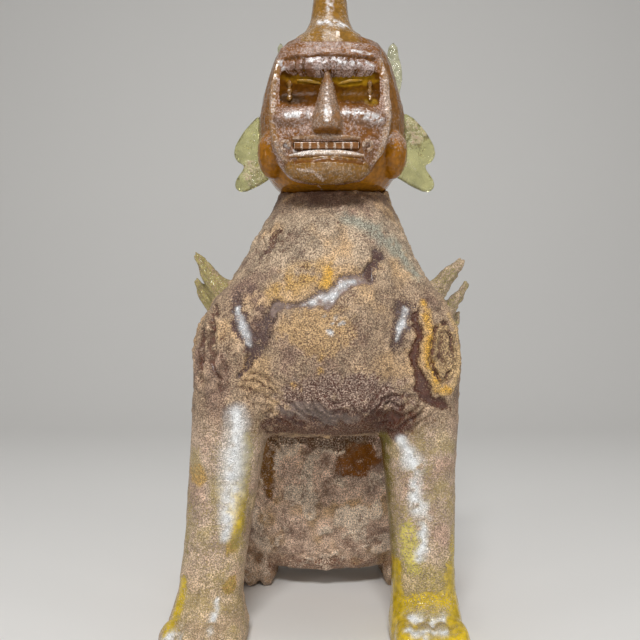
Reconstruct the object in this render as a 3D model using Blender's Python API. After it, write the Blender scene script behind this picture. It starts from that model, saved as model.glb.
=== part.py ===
"""Seated guardian beast in amber glass, made of separately formed glass pieces fused at their seams.

Metres, +Z up, standing on z = 0. The beast faces -Y, and left and right are its own, so its left side is +X.
Sizes below are in millimetres. Nothing on the figure moves, so every piece belongs to one rigid body.
"""

import math

import bmesh
import bpy
from mathutils import Matrix, Vector
from mathutils.bvhtree import BVHTree

MM = 0.001

# Driving dimensions
HEIGHT = 295.0
SEAM = 0.3
CENTRING = (-1.0, -2.9)
GROUND = 0.0
SIDES = (("left", 1), ("right", -1))

# The head sits a little to the beast's left of the body's middle, as on the handmade original.
HEAD_X = 3.2
FACE_X = 1.8
MOUTH_X = 0.5
NOSE_X = 0.9
EAR_AXIS_X = 4.5

# A station of a loft is (height, centre x, half width, front y, back y).
TORSO_STATIONS = [
    (87, 0.0, 37, -43.5, 30),
    (95.5, 0.0, 43, -51.5, 36),
    (109, 0.0, 46, -57, 42),
    (124, 0.0, 47, -59, 44),
    (138, 0.5, 46, -57, 42),
    (150, 1.5, 43.2, -53, 36),
    (161, 2.5, 36.8, -49, 28),
    (171, 3.0, 31.8, -46, 20),
]
TORSO_BELLY_DROP = 7

NECK_STATIONS = [
    (171 + SEAM, 3.0, 31.4, -45.5, 19.5),
    (178, 3.6, 28, -41, 14),
    (183, 3.9, 26.3, -35, 12),
    (186, 4.0, 25.4, -32, 11),
    (197, 4.0, 25, -31, 8),
]

RUMP_X = 1.0
RUMP_STATIONS = [
    (12, RUMP_X, 36, 10, 56),
    (22, RUMP_X, 46, 5, 63),
    (38, RUMP_X, 51, 1, 66),
    (58, RUMP_X, 51, -1, 66),
    (78, RUMP_X, 48, 0, 63),
    (96, RUMP_X, 43, 4, 57),
    (112, RUMP_X, 36, 10, 48),
]
RUMP_SEAT_DROP = 5
RUMP_TOP_RISE = 10

HEAD_STATIONS = [
    (190, HEAD_X, 25, -41, 4),
    (197, HEAD_X, 30, -43, 6),
    (207, HEAD_X, 32, -44, 7),
    (218, HEAD_X, 32, -44, 7),
    (228, HEAD_X, 30, -44, 6),
    (238, HEAD_X, 27, -43, 4),
    (245, HEAD_X, 24, -41, 0),
]
HEAD_UNDERSIDE_DROP = 5
HEAD_CROWN_RISE = 7

FACE_BACK = -34
FACE_FRONT = -52.5
FACE_STATIONS = [
    (189, FACE_X - 1.2, 15.6, -48, FACE_BACK),
    (193, FACE_X - 1.0, 19.4, -51, FACE_BACK),
    (200, FACE_X - 0.4, 22.6, -53.6, FACE_BACK),
    (208, FACE_X, 24.2, -54.2, FACE_BACK),
    (217, FACE_X, 24.4, FACE_FRONT, FACE_BACK),
    (227, FACE_X, 23.2, FACE_FRONT, FACE_BACK),
    (234, FACE_X, 21.8, -51.5, FACE_BACK),
    (240, FACE_X + 0.4, 20.3, -48.5, FACE_BACK),
]
FACE_CHIN_DROP = 2.5
FACE_TOP_RISE = 3

# The eye hollow is one wide sunken band under the brow, and its foot slopes out to the cheekbones: (y, z).
# The mouth is a plain slot. Cutters of the mask reach this far in front of it.
CUTTER_FRONT = -70
EYE_FLOOR = -49.6
EYE_SPAN = (FACE_X - 19.6, FACE_X + 19.6)
EYE_PROFILE = [
    (CUTTER_FRONT, 212.8),
    (-54.4, 212.8),
    (-51.6, 215.2),
    (EYE_FLOOR + 0.2, 219.6),
    (EYE_FLOOR, 227.8),
    (CUTTER_FRONT, 227.8),
]
MOUTH_SLOT = (MOUTH_X - 12.8, MOUTH_X + 12.8, 197.2, 200.2)
MOUTH_FLOOR = -50.4
TEETH_COUNT = 8
TOOTH_GROOVE = 0.5
TEETH_FRONT = -53.4

NOSE_STATIONS = [
    (203.4, NOSE_X, 5.5, -58.6, EYE_FLOOR + 2),
    (205.0, NOSE_X, 5.8, -59.4, EYE_FLOOR + 2),
    (208.0, NOSE_X, 5.7, -59.2, EYE_FLOOR + 2),
    (212.5, NOSE_X, 4.6, -57.6, EYE_FLOOR + 2),
    (217.5, NOSE_X, 3.4, -55.8, EYE_FLOOR + 2),
    (222.5, NOSE_X, 2.1, -54.0, EYE_FLOOR + 2),
    (227.2, NOSE_X, 0.8, -52.2, EYE_FLOOR + 2),
]

HORN_STATIONS = [
    (244, 2.6, 20.6, -43.5, -8),
    (249, 2.5, 16.8, -40.8, -11),
    (253.5, 2.3, 11.2, -36.6, -14.4),
    (259, 2.2, 8.6, -33.5, -16.5),
    (266, 2.2, 7.6, -31.5, -16.5),
    (275, 2.2, 6.7, -29.5, -16),
    (284, 2.2, 5.6, -27, -15.5),
    (HEIGHT - 4, 2.2, 4.2, -24.5, -15.5),
]
HORN_TIP_RISE = 4

# Ear outlines are (distance from the head's middle plane, height), starting at the top of the root.
EAR_OUTLINE = [
    (25.0, 221.0),
    (31.5, 222.0),
    (37.5, 217.8),
    (42.6, 211.6),
    (45.0, 205.6),
    (43.2, 201.6),
    (40.2, 199.6),
    (42.6, 195.6),
    (44.6, 191.4),
    (42.6, 188.6),
    (37.0, 189.6),
    (30.5, 192.8),
    (25.0, 196.5),
]
EAR_Y = -20
EAR_SWEEP_DEGREES = 12
EAR_THICKNESS = 3.6
EAR_EDGE = 0.9

EAR_LEAF_OUTLINE = [
    (22.0, 233.0),
    (22.4, 244.0),
    (24.2, 252.6),
    (27.0, 258.4),
    (29.4, 252.0),
    (31.0, 245.0),
    (30.4, 238.0),
    (27.0, 231.0),
]
EAR_LEAF_Y = -8
EAR_LEAF_THICKNESS = 3.2
# The right leaf is pulled narrower than the left one.
EAR_LEAF_SPREAD = {"left": 1.0, "right": 0.5}

ANKLE_HEIGHT = 18

# A leg's station is (height, half width, front y, back y, how far it leans in towards the neck).
LEG_STATIONS = [
    (ANKLE_HEIGHT + SEAM, 13.4, -45, -17, 0),
    (30, 13.2, -45, -17, 0),
    (47, 13.8, -45, -16, 0),
    (64, 14.7, -45.5, -15, 0),
    (80, 15.8, -47, -11, 0),
    (92, 16.9, -49, -4, 0),
    (106, 18.0, -50, 4, 0),
    (120, 18.8, -50.5, 9, 0),
    (131, 18.6, -49.5, 10, 1.2),
    (140, 17.0, -47, 7, 3.6),
    (147, 13.5, -43, 2, 6.5),
]
LEG_TOP_RISE = 5
# The right leg is set wider at the foot than the left one.
FOOT_X = {"left": 41.4, "right": -47.9}
SHOULDER_X = {"left": 38.4, "right": -35.8}
SHOULDER_HEIGHT = 120

# A paw's station is (height, half width, front y, back y). The right front paw is spread wider.
FRONT_PAW_STATIONS = {
    "left": [
        (0, 14.8, -58, -18),
        (6, 15.2, -59, -17),
        (12, 14.2, -55, -17),
        (ANKLE_HEIGHT, 13.5, -46.5, -17),
    ],
    "right": [
        (0, 16.4, -58, -18),
        (6, 16.8, -59, -17),
        (12, 14.8, -55, -17),
        (ANKLE_HEIGHT, 13.6, -46.5, -17),
    ],
}
HIND_PAW_STATIONS = [
    (0, 17.2, 20, 56),
    (8, 17.8, 19, 57),
    (15, 16.6, 21, 57),
    (22, 13.5, 27, 55),
]
HIND_PAW_X = {"left": 46.5, "right": -41.0}
TOE_COUNT = 4
TOE_DRAWN_BACK = 3.0
FRONT_TOE = {"radii": (4.7, 10.5, 7.2), "y": -56.0, "z": 6.8}
HIND_TOE = {"radii": (4.8, 9.5, 10.5), "y": 18.5, "z": 9.0}

HAUNCH_X = 46.0
HAUNCH_CENTRE_Y_Z = (36.0, 43.0)
HAUNCH_RADII = (17.0, 28.0, 34.0)

CHEEK_CENTRE = (25.0, -31.0, 201.0)
CHEEK_RADII = (7.0, 9.5, 10.5)
CHEEKBONE_CENTRE = (13.0, -51.6, 209.8)
CHEEKBONE_RADII = (9.4, 4.2, 4.4)
CHIN_CENTRE = (FACE_X - 1.0, -47.3, 190.5)
CHIN_RADII = (17.4, 7.4, 5.6)

# Pulled tufts of the shoulders: (x, y, z, radius) from the root to the tip.
TUFTS = {
    "left_tuft_upper": [
        (45, -14, 137, 6.2),
        (52, -13, 147, 5.0),
        (58, -12.5, 154, 3.4),
        (61.6, -12, 158, 2.3),
    ],
    "left_tuft_middle": [
        (49, -9, 129, 5.0),
        (57.6, -8.5, 138, 4.0),
        (62.8, -8, 144.5, 2.9),
        (65.0, -7.5, 148.5, 1.9),
    ],
    "left_tuft_lower": [
        (51, -4, 121, 4.6),
        (57, -3.5, 127.5, 3.8),
        (61, -3, 132.5, 2.6),
        (62.6, -3, 135.5, 1.7),
    ],
    "right_tuft_upper": [
        (-41, -14, 137, 6.8),
        (-48, -13, 147, 5.6),
        (-54.3, -12.5, 155.5, 3.6),
        (-57.8, -12, 161.6, 2.2),
    ],
    "right_tuft_lower": [
        (-45, -8, 131, 4.6),
        (-53, -7.5, 140.5, 3.9),
        (-57, -7, 146.5, 2.8),
        (-58.6, -7, 150.6, 1.9),
    ],
}

# Applied glass trails on the front: (x, z) along the surface, and the trail's radius.
BROW_PATH = [
    (NOSE_X - 18.4, 229.2),
    (NOSE_X - 9, 230.2),
    (NOSE_X, 230.4),
    (NOSE_X + 9, 230.2),
    (NOSE_X + 18.4, 229.2),
]
BROW_RADIUS = 2.5
FACE_RIM_PATH = [
    (20.2, 234.5),
    (21.9, 226),
    (22.8, 216),
    (22.4, 206.5),
    (20.4, 198.5),
    (17.4, 193.6),
]
FACE_RIM_RADIUS = 1.7
LOWER_LIP_PATH = [
    (MOUTH_X - 14.6, 195.2),
    (MOUTH_X - 7, 195.6),
    (MOUTH_X, 195.7),
    (MOUTH_X + 7, 195.6),
    (MOUTH_X + 14.6, 195.2),
]
LOWER_LIP_RADIUS = 1.4
UPPER_LIP_PATH = [(MOUTH_X - 13.0, 201.4), (MOUTH_X, 201.8), (MOUTH_X + 13.0, 201.4)]
UPPER_LIP_RADIUS = 1.1
LIP_CURL_X = 16.0
LIP_CURL_Z = 199.0
LIP_CURL_RADIUS = 1.6
LIP_CURL_TUBE = 0.95
LIP_CURL_START = -100
LIP_CURL_SWEEP = 300
LIP_CURL_POINTS = 13
EYELID_PATH = [(3.4, 223.8), (8.0, 224.9), (12.8, 225.2)]
EYELID_RADIUS = 0.8
EYE_BEAD_X = 15.8
EYE_BEAD_TOP_Z = 225.2
EYE_BEAD_PITCH = 2.9
EYE_BEAD_COUNT = 3
EYE_BEAD_RADII = (0.7, 1.3)

# The shoulder whorl is an oval spiral trail that winds inwards.
WHORL_CENTRE = (46.4, 117.0)
WHORL_HALF = (7.2, 17.0)
WHORL_INNER_SHARE = 0.42
WHORL_START = 70
WHORL_TURNS = 1.6
WHORL_POINTS = 26
WHORL_RADIUS = 1.3

# The tail lies up the middle of the back and ends in a side curl: (x, z, radius).
TAIL_PATH = [
    (1.0, 15, 5.0),
    (2.0, 28, 5.6),
    (2.5, 46, 5.2),
    (1.0, 64, 4.6),
    (-5.0, 77, 4.0),
    (-12.0, 79, 3.4),
    (-15.0, 72, 2.8),
]

# Colours are those of the photographed glass: crusted, clear amber and pale straw.
MATERIALS = {
    "crusted_amber_glass": {"colour": (0.34, 0.22, 0.14), "roughness": 0.62, "transmission": 0.0},
    "amber_glass": {"colour": (0.42, 0.20, 0.04), "roughness": 0.22, "transmission": 0.35},
    "pale_glass": {"colour": (0.62, 0.58, 0.30), "roughness": 0.15, "transmission": 0.6},
}


# Scene helpers

def clear_scene():
    for obj in list(bpy.data.objects):
        bpy.data.objects.remove(obj, do_unlink=True)


def new_collection(name):
    collection = bpy.data.collections.new(name)
    bpy.context.scene.collection.children.link(collection)
    return collection


def add_object(name, mesh, collection):
    obj = bpy.data.objects.new(name, mesh)
    collection.objects.link(obj)
    obj.parent = FRAME
    return obj


def evaluated_mesh(obj):
    """A new mesh with the object's modifiers applied and its loose caps welded."""
    bpy.context.view_layer.update()
    graph = bpy.context.evaluated_depsgraph_get()
    mesh = bpy.data.meshes.new_from_object(obj.evaluated_get(graph))
    shape = bmesh.new()
    shape.from_mesh(mesh)
    bmesh.ops.remove_doubles(shape, verts=shape.verts, dist=0.005 * MM)
    bmesh.ops.recalc_face_normals(shape, faces=shape.faces)
    shape.to_mesh(mesh)
    shape.free()
    return mesh


def keep_largest_body(mesh):
    """Drops the slivers that a cut leaves beside the main body."""
    shape = bmesh.new()
    shape.from_mesh(mesh)
    unseen = set(shape.verts)
    bodies = []
    while unseen:
        stack = [unseen.pop()]
        body = set(stack)
        while stack:
            for edge in stack.pop().link_edges:
                for vert in edge.verts:
                    if vert in unseen:
                        unseen.discard(vert)
                        body.add(vert)
                        stack.append(vert)
        bodies.append(body)
    largest = max(bodies, key=len)
    extra = [vert for body in bodies if body is not largest for vert in body]
    bmesh.ops.delete(shape, geom=extra, context="VERTS")
    shape.to_mesh(mesh)
    shape.free()


def settle(obj):
    """Applies the object's modifiers and keeps its one body."""
    mesh = evaluated_mesh(obj)
    keep_largest_body(mesh)
    obj.modifiers.clear()
    obj.data = mesh
    mesh.name = obj.name
    return obj


def grown(obj):
    """A hidden copy of a finished piece, larger by the seam gap all round, to cut its neighbours with."""
    name = "grown_" + obj.name
    if name in CUTTERS.objects:
        return CUTTERS.objects[name]
    cutter = add_object(name, evaluated_mesh(obj), CUTTERS)
    swell = cutter.modifiers.new("seam_gap", "DISPLACE")
    swell.strength = SEAM * MM
    swell.mid_level = 0.0
    hide(cutter)
    return cutter


def hide(obj):
    obj.hide_render = True
    obj.display_type = "WIRE"


def boolean(obj, other, operation):
    modifier = obj.modifiers.new(f"{operation.lower()}_{other.name}", "BOOLEAN")
    modifier.operation = operation
    modifier.object = other


def fuse_onto(obj, *neighbours):
    """Cuts the piece back to the surfaces of the pieces that it is fused to."""
    for neighbour in neighbours:
        boolean(obj, grown(neighbour), "DIFFERENCE")
    return settle(obj)


def carve(obj, *cutters):
    for cutter in cutters:
        hide(cutter)
        boolean(obj, cutter, "DIFFERENCE")
    return settle(obj)


def finish(obj, material):
    obj.data.shade_smooth()
    obj.data.set_sharp_from_angle(angle=math.radians(40))
    obj.data.materials.clear()
    obj.data.materials.append(GLASS[material])


# Shape helpers

def catmull_rom(rows, steps):
    """Rows of numbers made smooth, with this many steps between one given row and the next."""
    smooth = []
    for i in range(len(rows) - 1):
        before, start = rows[max(i - 1, 0)], rows[i]
        end, after = rows[i + 1], rows[min(i + 2, len(rows) - 1)]
        for step in range(steps):
            t = step / steps
            row = []
            for a, b, c, d in zip(before, start, end, after):
                linear = (c - a) * t
                square = (2 * a - 5 * b + 4 * c - d) * t**2
                cube = (3 * b - a - 3 * c + d) * t**3
                row.append(0.5 * (2 * b + linear + square + cube))
            smooth.append(tuple(row))
    return smooth + [tuple(rows[-1])]


def dome(station, rise, steps=3):
    """Stations that round off the end of a loft, from the given station outwards."""
    z, x, half, front, back = station
    middle, depth = (front + back) / 2, (back - front) / 2
    stations = []
    for step in range(1, steps + 1):
        angle = math.pi / 2 * step / (steps + 0.5)
        share = math.cos(angle)
        top = z + rise * math.sin(angle)
        stations.append((top, x, half * share, middle - depth * share, middle + depth * share))
    return stations


def loft(name, stations, sides, power=2.3, bottom_drop=0.0, top_rise=0.0, steps=2, collection=None):
    """A solid through level superellipse sections. A power of 2 is an ellipse, and more is squarer."""
    rows = catmull_rom(stations, steps)
    if bottom_drop:
        rows = dome(rows[0], -bottom_drop)[::-1] + rows
    if top_rise:
        rows = rows + dome(rows[-1], top_rise)
    shape = bmesh.new()
    rings = []
    for z, x, half, front, back in rows:
        middle, depth = (front + back) / 2, (back - front) / 2
        ring = []
        for i in range(sides):
            angle = 2 * math.pi * (i + 0.5) / sides
            across = math.copysign(abs(math.cos(angle)) ** (2 / power), math.cos(angle))
            along = math.copysign(abs(math.sin(angle)) ** (2 / power), math.sin(angle))
            ring.append(shape.verts.new(Vector((x + half * across, middle + depth * along, z)) * MM))
        rings.append(ring)
    for low, high in zip(rings, rings[1:]):
        for i in range(sides):
            j = (i + 1) % sides
            shape.faces.new((low[i], low[j], high[j], high[i]))
    shape.faces.new(rings[0][::-1])
    shape.faces.new(rings[-1])
    mesh = bpy.data.meshes.new(name)
    shape.to_mesh(mesh)
    shape.free()
    return add_object(name, mesh, collection or PARTS)


def ellipsoid(name, centre, radii, segments=18, rings=12, collection=None):
    shape = bmesh.new()
    matrix = Matrix.Translation(Vector(centre) * MM) @ Matrix.Diagonal((*(Vector(radii) * MM), 1))
    bmesh.ops.create_uvsphere(shape, u_segments=segments, v_segments=rings, radius=1, matrix=matrix)
    mesh = bpy.data.meshes.new(name)
    shape.to_mesh(mesh)
    shape.free()
    return add_object(name, mesh, collection or PARTS)


def block(name, low, high, collection=None):
    shape = bmesh.new()
    low, high = Vector(low) * MM, Vector(high) * MM
    matrix = Matrix.Translation((low + high) / 2) @ Matrix.Diagonal((*(high - low), 1))
    bmesh.ops.create_cube(shape, size=1, matrix=matrix)
    mesh = bpy.data.meshes.new(name)
    shape.to_mesh(mesh)
    shape.free()
    return add_object(name, mesh, collection or PARTS)


def prism(name, span, profile, collection):
    """A block with the given outline of (y, z), reaching across the span of x."""
    shape = bmesh.new()
    ends = [[shape.verts.new(Vector((x, y, z)) * MM) for y, z in profile] for x in span]
    for i in range(len(profile)):
        j = (i + 1) % len(profile)
        shape.faces.new((ends[0][i], ends[0][j], ends[1][j], ends[1][i]))
    shape.faces.new(ends[0])
    shape.faces.new(ends[1][::-1])
    bmesh.ops.recalc_face_normals(shape, faces=shape.faces)
    mesh = bpy.data.meshes.new(name)
    shape.to_mesh(mesh)
    shape.free()
    return add_object(name, mesh, collection)


def mesh_from_curve(name, curve):
    """Makes the curve a welded mesh object of the given name and removes the curve."""
    source = bpy.data.objects.new(name + "_curve", curve)
    PARTS.objects.link(source)
    mesh = evaluated_mesh(source)
    bpy.data.objects.remove(source)
    return add_object(name, mesh, PARTS)


def tube(name, points, resolution=2):
    """A rod along points of (x, y, z, radius) with filled caps."""
    curve = bpy.data.curves.new(name, "CURVE")
    curve.dimensions = "3D"
    curve.bevel_depth = MM
    curve.bevel_resolution = resolution
    curve.use_fill_caps = True
    spline = curve.splines.new("POLY")
    spline.points.add(len(points) - 1)
    for point, (x, y, z, radius) in zip(spline.points, points):
        point.co = (x * MM, y * MM, z * MM, 1)
        point.radius = radius
    return mesh_from_curve(name, curve)


def rounded_end(points):
    """The rod's points with its last end drawn in to a round tip."""
    last, previous = Vector(points[-1]), Vector(points[-2])
    onward = (last - previous).to_3d().normalized()
    radius = points[-1][3]
    tip = []
    for degrees in (35, 60, 80):
        angle = math.radians(degrees)
        place = last.to_3d() + onward * radius * math.sin(angle)
        tip.append((*place, radius * math.cos(angle)))
    return list(points) + tip


def surface_tree(*objects):
    """One search tree over the faces of finished pieces."""
    points, faces = [], []
    for obj in objects:
        start = len(points)
        points += [vert.co.copy() for vert in obj.data.vertices]
        faces += [[start + i for i in face.vertices] for face in obj.data.polygons]
    return BVHTree.FromPolygons(points, faces)


def laid_on(tree, rows, from_back=False):
    """Rows of (x, z, radius) as points on the surface, seen from the front or from the back."""
    start_y, direction = (0.5, Vector((0, -1, 0))) if from_back else (-0.5, Vector((0, 1, 0)))
    points = []
    for x, z, radius in rows:
        hit = tree.ray_cast(Vector((x * MM, start_y, z * MM)), direction)[0]
        points.append((x, hit.y / MM, z, radius))
    return points


def with_radius(path, radius):
    return [(x, z, radius) for x, z in path]


def tapered(rows, end_share=0.55):
    """The rows with the radius drawn down at both ends."""
    rows = [list(row) for row in rows]
    for row in (rows[0], rows[-1]):
        row[2] *= end_share
    return [tuple(row) for row in rows]


def trail(name, surfaces, rows, steps=4, from_back=False):
    """A half-round glass thread laid on finished pieces and fused to them."""
    path = catmull_rom(tapered(rows), steps)
    points = laid_on(surface_tree(*surfaces), path, from_back)
    return fuse_onto(tube(name, points, 1), *surfaces)


def mirrored(path, middle, side):
    return [(middle + side * x, z) for x, z in path]


# The pieces

def make_torso():
    torso = loft("torso", TORSO_STATIONS, 28, steps=1, bottom_drop=TORSO_BELLY_DROP)
    return settle(torso)


def make_rump(torso):
    rump = loft("rump", RUMP_STATIONS, 28, steps=1, bottom_drop=RUMP_SEAT_DROP, top_rise=RUMP_TOP_RISE)
    return fuse_onto(rump, torso)


def make_head():
    head = loft("head", HEAD_STATIONS, 28, 2.5, HEAD_UNDERSIDE_DROP, HEAD_CROWN_RISE, 1)
    return settle(head)


def make_neck(head):
    return fuse_onto(loft("neck", NECK_STATIONS, 24, steps=1), head)


def make_face_plate(head):
    """The mask, with the sunken eye band and the mouth slot carved into its front."""
    plate = loft("face_plate", FACE_STATIONS, 32, 3.0, FACE_CHIN_DROP, FACE_TOP_RISE, 1)
    eyes = prism("eye_hollow_cutter", EYE_SPAN, EYE_PROFILE, CUTTERS)
    west, east, low, high = MOUTH_SLOT
    mouth = block("mouth_slot_cutter", (west, CUTTER_FRONT, low), (east, MOUTH_FLOOR, high), CUTTERS)
    carve(plate, eyes, mouth)
    return fuse_onto(plate, head)


def make_teeth():
    """A strip that fills the mouth slot, with a groove between one tooth and the next."""
    west, east, low, high = MOUTH_SLOT
    teeth = block(
        "teeth",
        (west + SEAM, TEETH_FRONT, low + SEAM),
        (east - SEAM, MOUTH_FLOOR - SEAM, high - SEAM),
    )
    pitch = (east - west) / TEETH_COUNT
    for i in range(1, TEETH_COUNT):
        x = west + i * pitch
        groove = block(
            f"tooth_groove_cutter_{i}",
            (x - TOOTH_GROOVE / 2, TEETH_FRONT - 1, low - 1),
            (x + TOOTH_GROOVE / 2, TEETH_FRONT + 1.2, high + 1),
            CUTTERS,
        )
        hide(groove)
        boolean(teeth, groove, "DIFFERENCE")
    return settle(teeth)


def make_nose(plate, head):
    nose = loft("nose", NOSE_STATIONS, 16, 2.4, top_rise=0.6, steps=1)
    return fuse_onto(nose, plate, head)


def make_face_rims(plate):
    """The raised rim down each side of the mask."""
    rims = []
    for side, sign in SIDES:
        path = mirrored(FACE_RIM_PATH, FACE_X, sign)
        rims.append(trail(f"{side}_face_rim", [plate], with_radius(path, FACE_RIM_RADIUS), steps=3))
    return rims


def make_eyelids(plate):
    lids = []
    for side, sign in SIDES:
        path = mirrored(EYELID_PATH, FACE_X, sign)
        lids.append(trail(f"{side}_eyelid", [plate], with_radius(path, EYELID_RADIUS)))
    return lids


def make_eye_beads(plate):
    """A short thread crimped into a column of beads at each outer end of the eye band."""
    thin, fat = EYE_BEAD_RADII
    count = EYE_BEAD_COUNT * 4
    threads = []
    for side, sign in SIDES:
        rows = []
        for i in range(count + 1):
            swell = math.sin(math.pi * EYE_BEAD_COUNT * i / count) ** 2
            z = EYE_BEAD_TOP_Z - EYE_BEAD_PITCH * EYE_BEAD_COUNT * i / count
            rows.append((FACE_X + sign * EYE_BEAD_X, z, thin + (fat - thin) * swell))
        points = laid_on(surface_tree(plate), rows)
        threads.append(fuse_onto(tube(f"{side}_eye_beads", points, 1), plate))
    return threads


def make_lip_curls(plate, rims, teeth, lower_lip):
    """The curled corners of the mouth, each a thread wound most of a turn."""
    curls = []
    for (side, sign), rim in zip(SIDES, rims):
        rows = []
        for i in range(LIP_CURL_POINTS):
            angle = math.radians(LIP_CURL_START + LIP_CURL_SWEEP * i / (LIP_CURL_POINTS - 1))
            x = MOUTH_X + sign * (LIP_CURL_X + LIP_CURL_RADIUS * math.cos(angle))
            rows.append((x, LIP_CURL_Z + LIP_CURL_RADIUS * math.sin(angle), LIP_CURL_TUBE))
        points = laid_on(surface_tree(plate), rows)
        curls.append(fuse_onto(tube(f"{side}_lip_curl", points, 1), plate, rim, teeth, lower_lip))
    return curls


def make_cheekbones(plate, nose, rims):
    bones = []
    for (side, sign), rim in zip(SIDES, rims):
        x, y, z = CHEEKBONE_CENTRE
        bone = ellipsoid(f"{side}_cheekbone", (FACE_X + sign * x, y, z), CHEEKBONE_RADII, 14, 10)
        bones.append(fuse_onto(bone, plate, nose, rim))
    return bones


def make_chin(plate, head, rims):
    return fuse_onto(ellipsoid("chin", CHIN_CENTRE, CHIN_RADII, 16, 10), head, plate, *rims)


def make_cheeks(head, plate, neck):
    cheeks = []
    for side, sign in SIDES:
        x, y, z = CHEEK_CENTRE
        cheek = ellipsoid(f"{side}_cheek", (HEAD_X + sign * x, y, z), CHEEK_RADII, 14, 10)
        cheeks.append(fuse_onto(cheek, head, plate, neck))
    return cheeks


def make_horn(head):
    horn = loft("horn", HORN_STATIONS, 16, 2.1, top_rise=HORN_TIP_RISE, steps=1)
    return fuse_onto(horn, head)


def make_leaf(name, outline, sign, y, thickness, sweep_degrees):
    """A flat rounded leaf of glass standing out beside the head."""
    curve = bpy.data.curves.new(name, "CURVE")
    curve.dimensions = "2D"
    curve.fill_mode = "BOTH"
    curve.resolution_u = 2
    curve.extrude = (thickness / 2 - EAR_EDGE) * MM
    curve.bevel_depth = EAR_EDGE * MM
    curve.bevel_resolution = 1
    curve.offset = -EAR_EDGE * MM
    spline = curve.splines.new("BEZIER")
    spline.use_cyclic_u = True
    spline.bezier_points.add(len(outline) - 1)
    root = outline[0][0]
    for point, (across, z) in zip(spline.bezier_points, outline):
        point.co = (sign * (across - root) * MM, z * MM, 0)
        point.handle_left_type = point.handle_right_type = "AUTO"
    leaf = mesh_from_curve(name, curve)
    sweep = math.radians(sweep_degrees) * sign
    place = Vector((EAR_AXIS_X + sign * root, y, 0)) * MM
    upright = Matrix.Rotation(math.pi / 2, 4, "X")
    leaf.data.transform(Matrix.Translation(place) @ Matrix.Rotation(sweep, 4, "Z") @ upright)
    return leaf


def make_ears(head, cheeks):
    ears = []
    leaf_root = EAR_LEAF_OUTLINE[0][0]
    for (side, sign), cheek in zip(SIDES, cheeks):
        ear = make_leaf(f"{side}_ear", EAR_OUTLINE, sign, EAR_Y, EAR_THICKNESS, EAR_SWEEP_DEGREES)
        ears.append(fuse_onto(ear, head, cheek))
        spread = EAR_LEAF_SPREAD[side]
        outline = [(leaf_root + (across - leaf_root) * spread, z) for across, z in EAR_LEAF_OUTLINE]
        leaf = make_leaf(f"{side}_ear_leaf", outline, sign, EAR_LEAF_Y, EAR_LEAF_THICKNESS, 0)
        ears.append(fuse_onto(leaf, head))
    return ears


def leg_stations(side):
    """The leg's loft stations: straight from the foot to the shoulder, then leaning in."""
    stations = []
    inward = -math.copysign(1, FOOT_X[side])
    for z, half, front, back, lean in LEG_STATIONS:
        share = (z - ANKLE_HEIGHT) / (SHOULDER_HEIGHT - ANKLE_HEIGHT)
        x = FOOT_X[side] + (SHOULDER_X[side] - FOOT_X[side]) * share
        stations.append((z, x + inward * lean, half, front, back))
    return stations


def make_front_legs(torso, rump):
    legs = []
    for side in FOOT_X:
        leg = loft(f"{side}_front_leg", leg_stations(side), 20, 2.7, top_rise=LEG_TOP_RISE, steps=1)
        legs.append(fuse_onto(leg, torso, rump))
    return legs


def add_toes(paw, centre_x, half_width, toe):
    """Joins a row of rounded toes to the front of a paw."""
    radius = toe["radii"][0]
    span = 2 * (half_width - radius)
    for i in range(TOE_COUNT):
        x = centre_x - span / 2 + span * i / (TOE_COUNT - 1)
        drawn_back = TOE_DRAWN_BACK * abs(2 * i / (TOE_COUNT - 1) - 1)
        centre = (x, toe["y"] + drawn_back, toe["z"])
        piece = ellipsoid(f"{paw.name}_toe_{i + 1}", centre, toe["radii"], 10, 7, CUTTERS)
        hide(piece)
        boolean(paw, piece, "UNION")
    settle(paw)


def make_paw(name, centre_x, stations, toe):
    rows = [(z, centre_x, half, front, back) for z, half, front, back in stations]
    paw = loft(name, rows, 16, 2.5, steps=1)
    add_toes(paw, centre_x, stations[0][1], toe)
    return carve(paw, GROUND_BLOCK)


def make_front_paws():
    paws = []
    for side, foot_x in FOOT_X.items():
        paws.append(make_paw(f"{side}_front_paw", foot_x, FRONT_PAW_STATIONS[side], FRONT_TOE))
    return paws


def make_haunches(rump, torso):
    haunches = []
    for side, sign in SIDES:
        centre = (RUMP_X + sign * HAUNCH_X, *HAUNCH_CENTRE_Y_Z)
        haunch = ellipsoid(f"{side}_haunch", centre, HAUNCH_RADII, 20, 14)
        haunches.append(fuse_onto(haunch, rump, torso))
    return haunches


def make_hind_paws(haunches, rump):
    paws = []
    for (side, paw_x), haunch in zip(HIND_PAW_X.items(), haunches):
        paw = make_paw(f"{side}_hind_paw", paw_x, HIND_PAW_STATIONS, HIND_TOE)
        paws.append(fuse_onto(paw, haunch, rump))
    return paws


def make_tufts(torso, legs):
    tufts = []
    for name, points in TUFTS.items():
        rod = tube(name, rounded_end(catmull_rom(points, 2)), resolution=2)
        tufts.append(fuse_onto(rod, torso, *legs))
    for upper, lower in ((0, 1), (1, 2), (3, 4)):
        fuse_onto(tufts[lower], tufts[upper])
    return tufts


def make_whorls(legs):
    """An oval spiral thread on the front of each shoulder."""
    whorls = []
    for (side, sign), leg in zip(SIDES, legs):
        x, z = WHORL_CENTRE
        rows = []
        for i in range(WHORL_POINTS):
            share = i / (WHORL_POINTS - 1)
            angle = math.radians(WHORL_START) - 2 * math.pi * WHORL_TURNS * share
            size = 1 - (1 - WHORL_INNER_SHARE) * share
            across = WHORL_HALF[0] * size * math.cos(angle)
            upward = WHORL_HALF[1] * size * math.sin(angle)
            rows.append((sign * (x + across), z + upward, WHORL_RADIUS))
        whorls.append(trail(f"{side}_shoulder_whorl", [leg], rows, steps=1))
    return whorls


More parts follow.
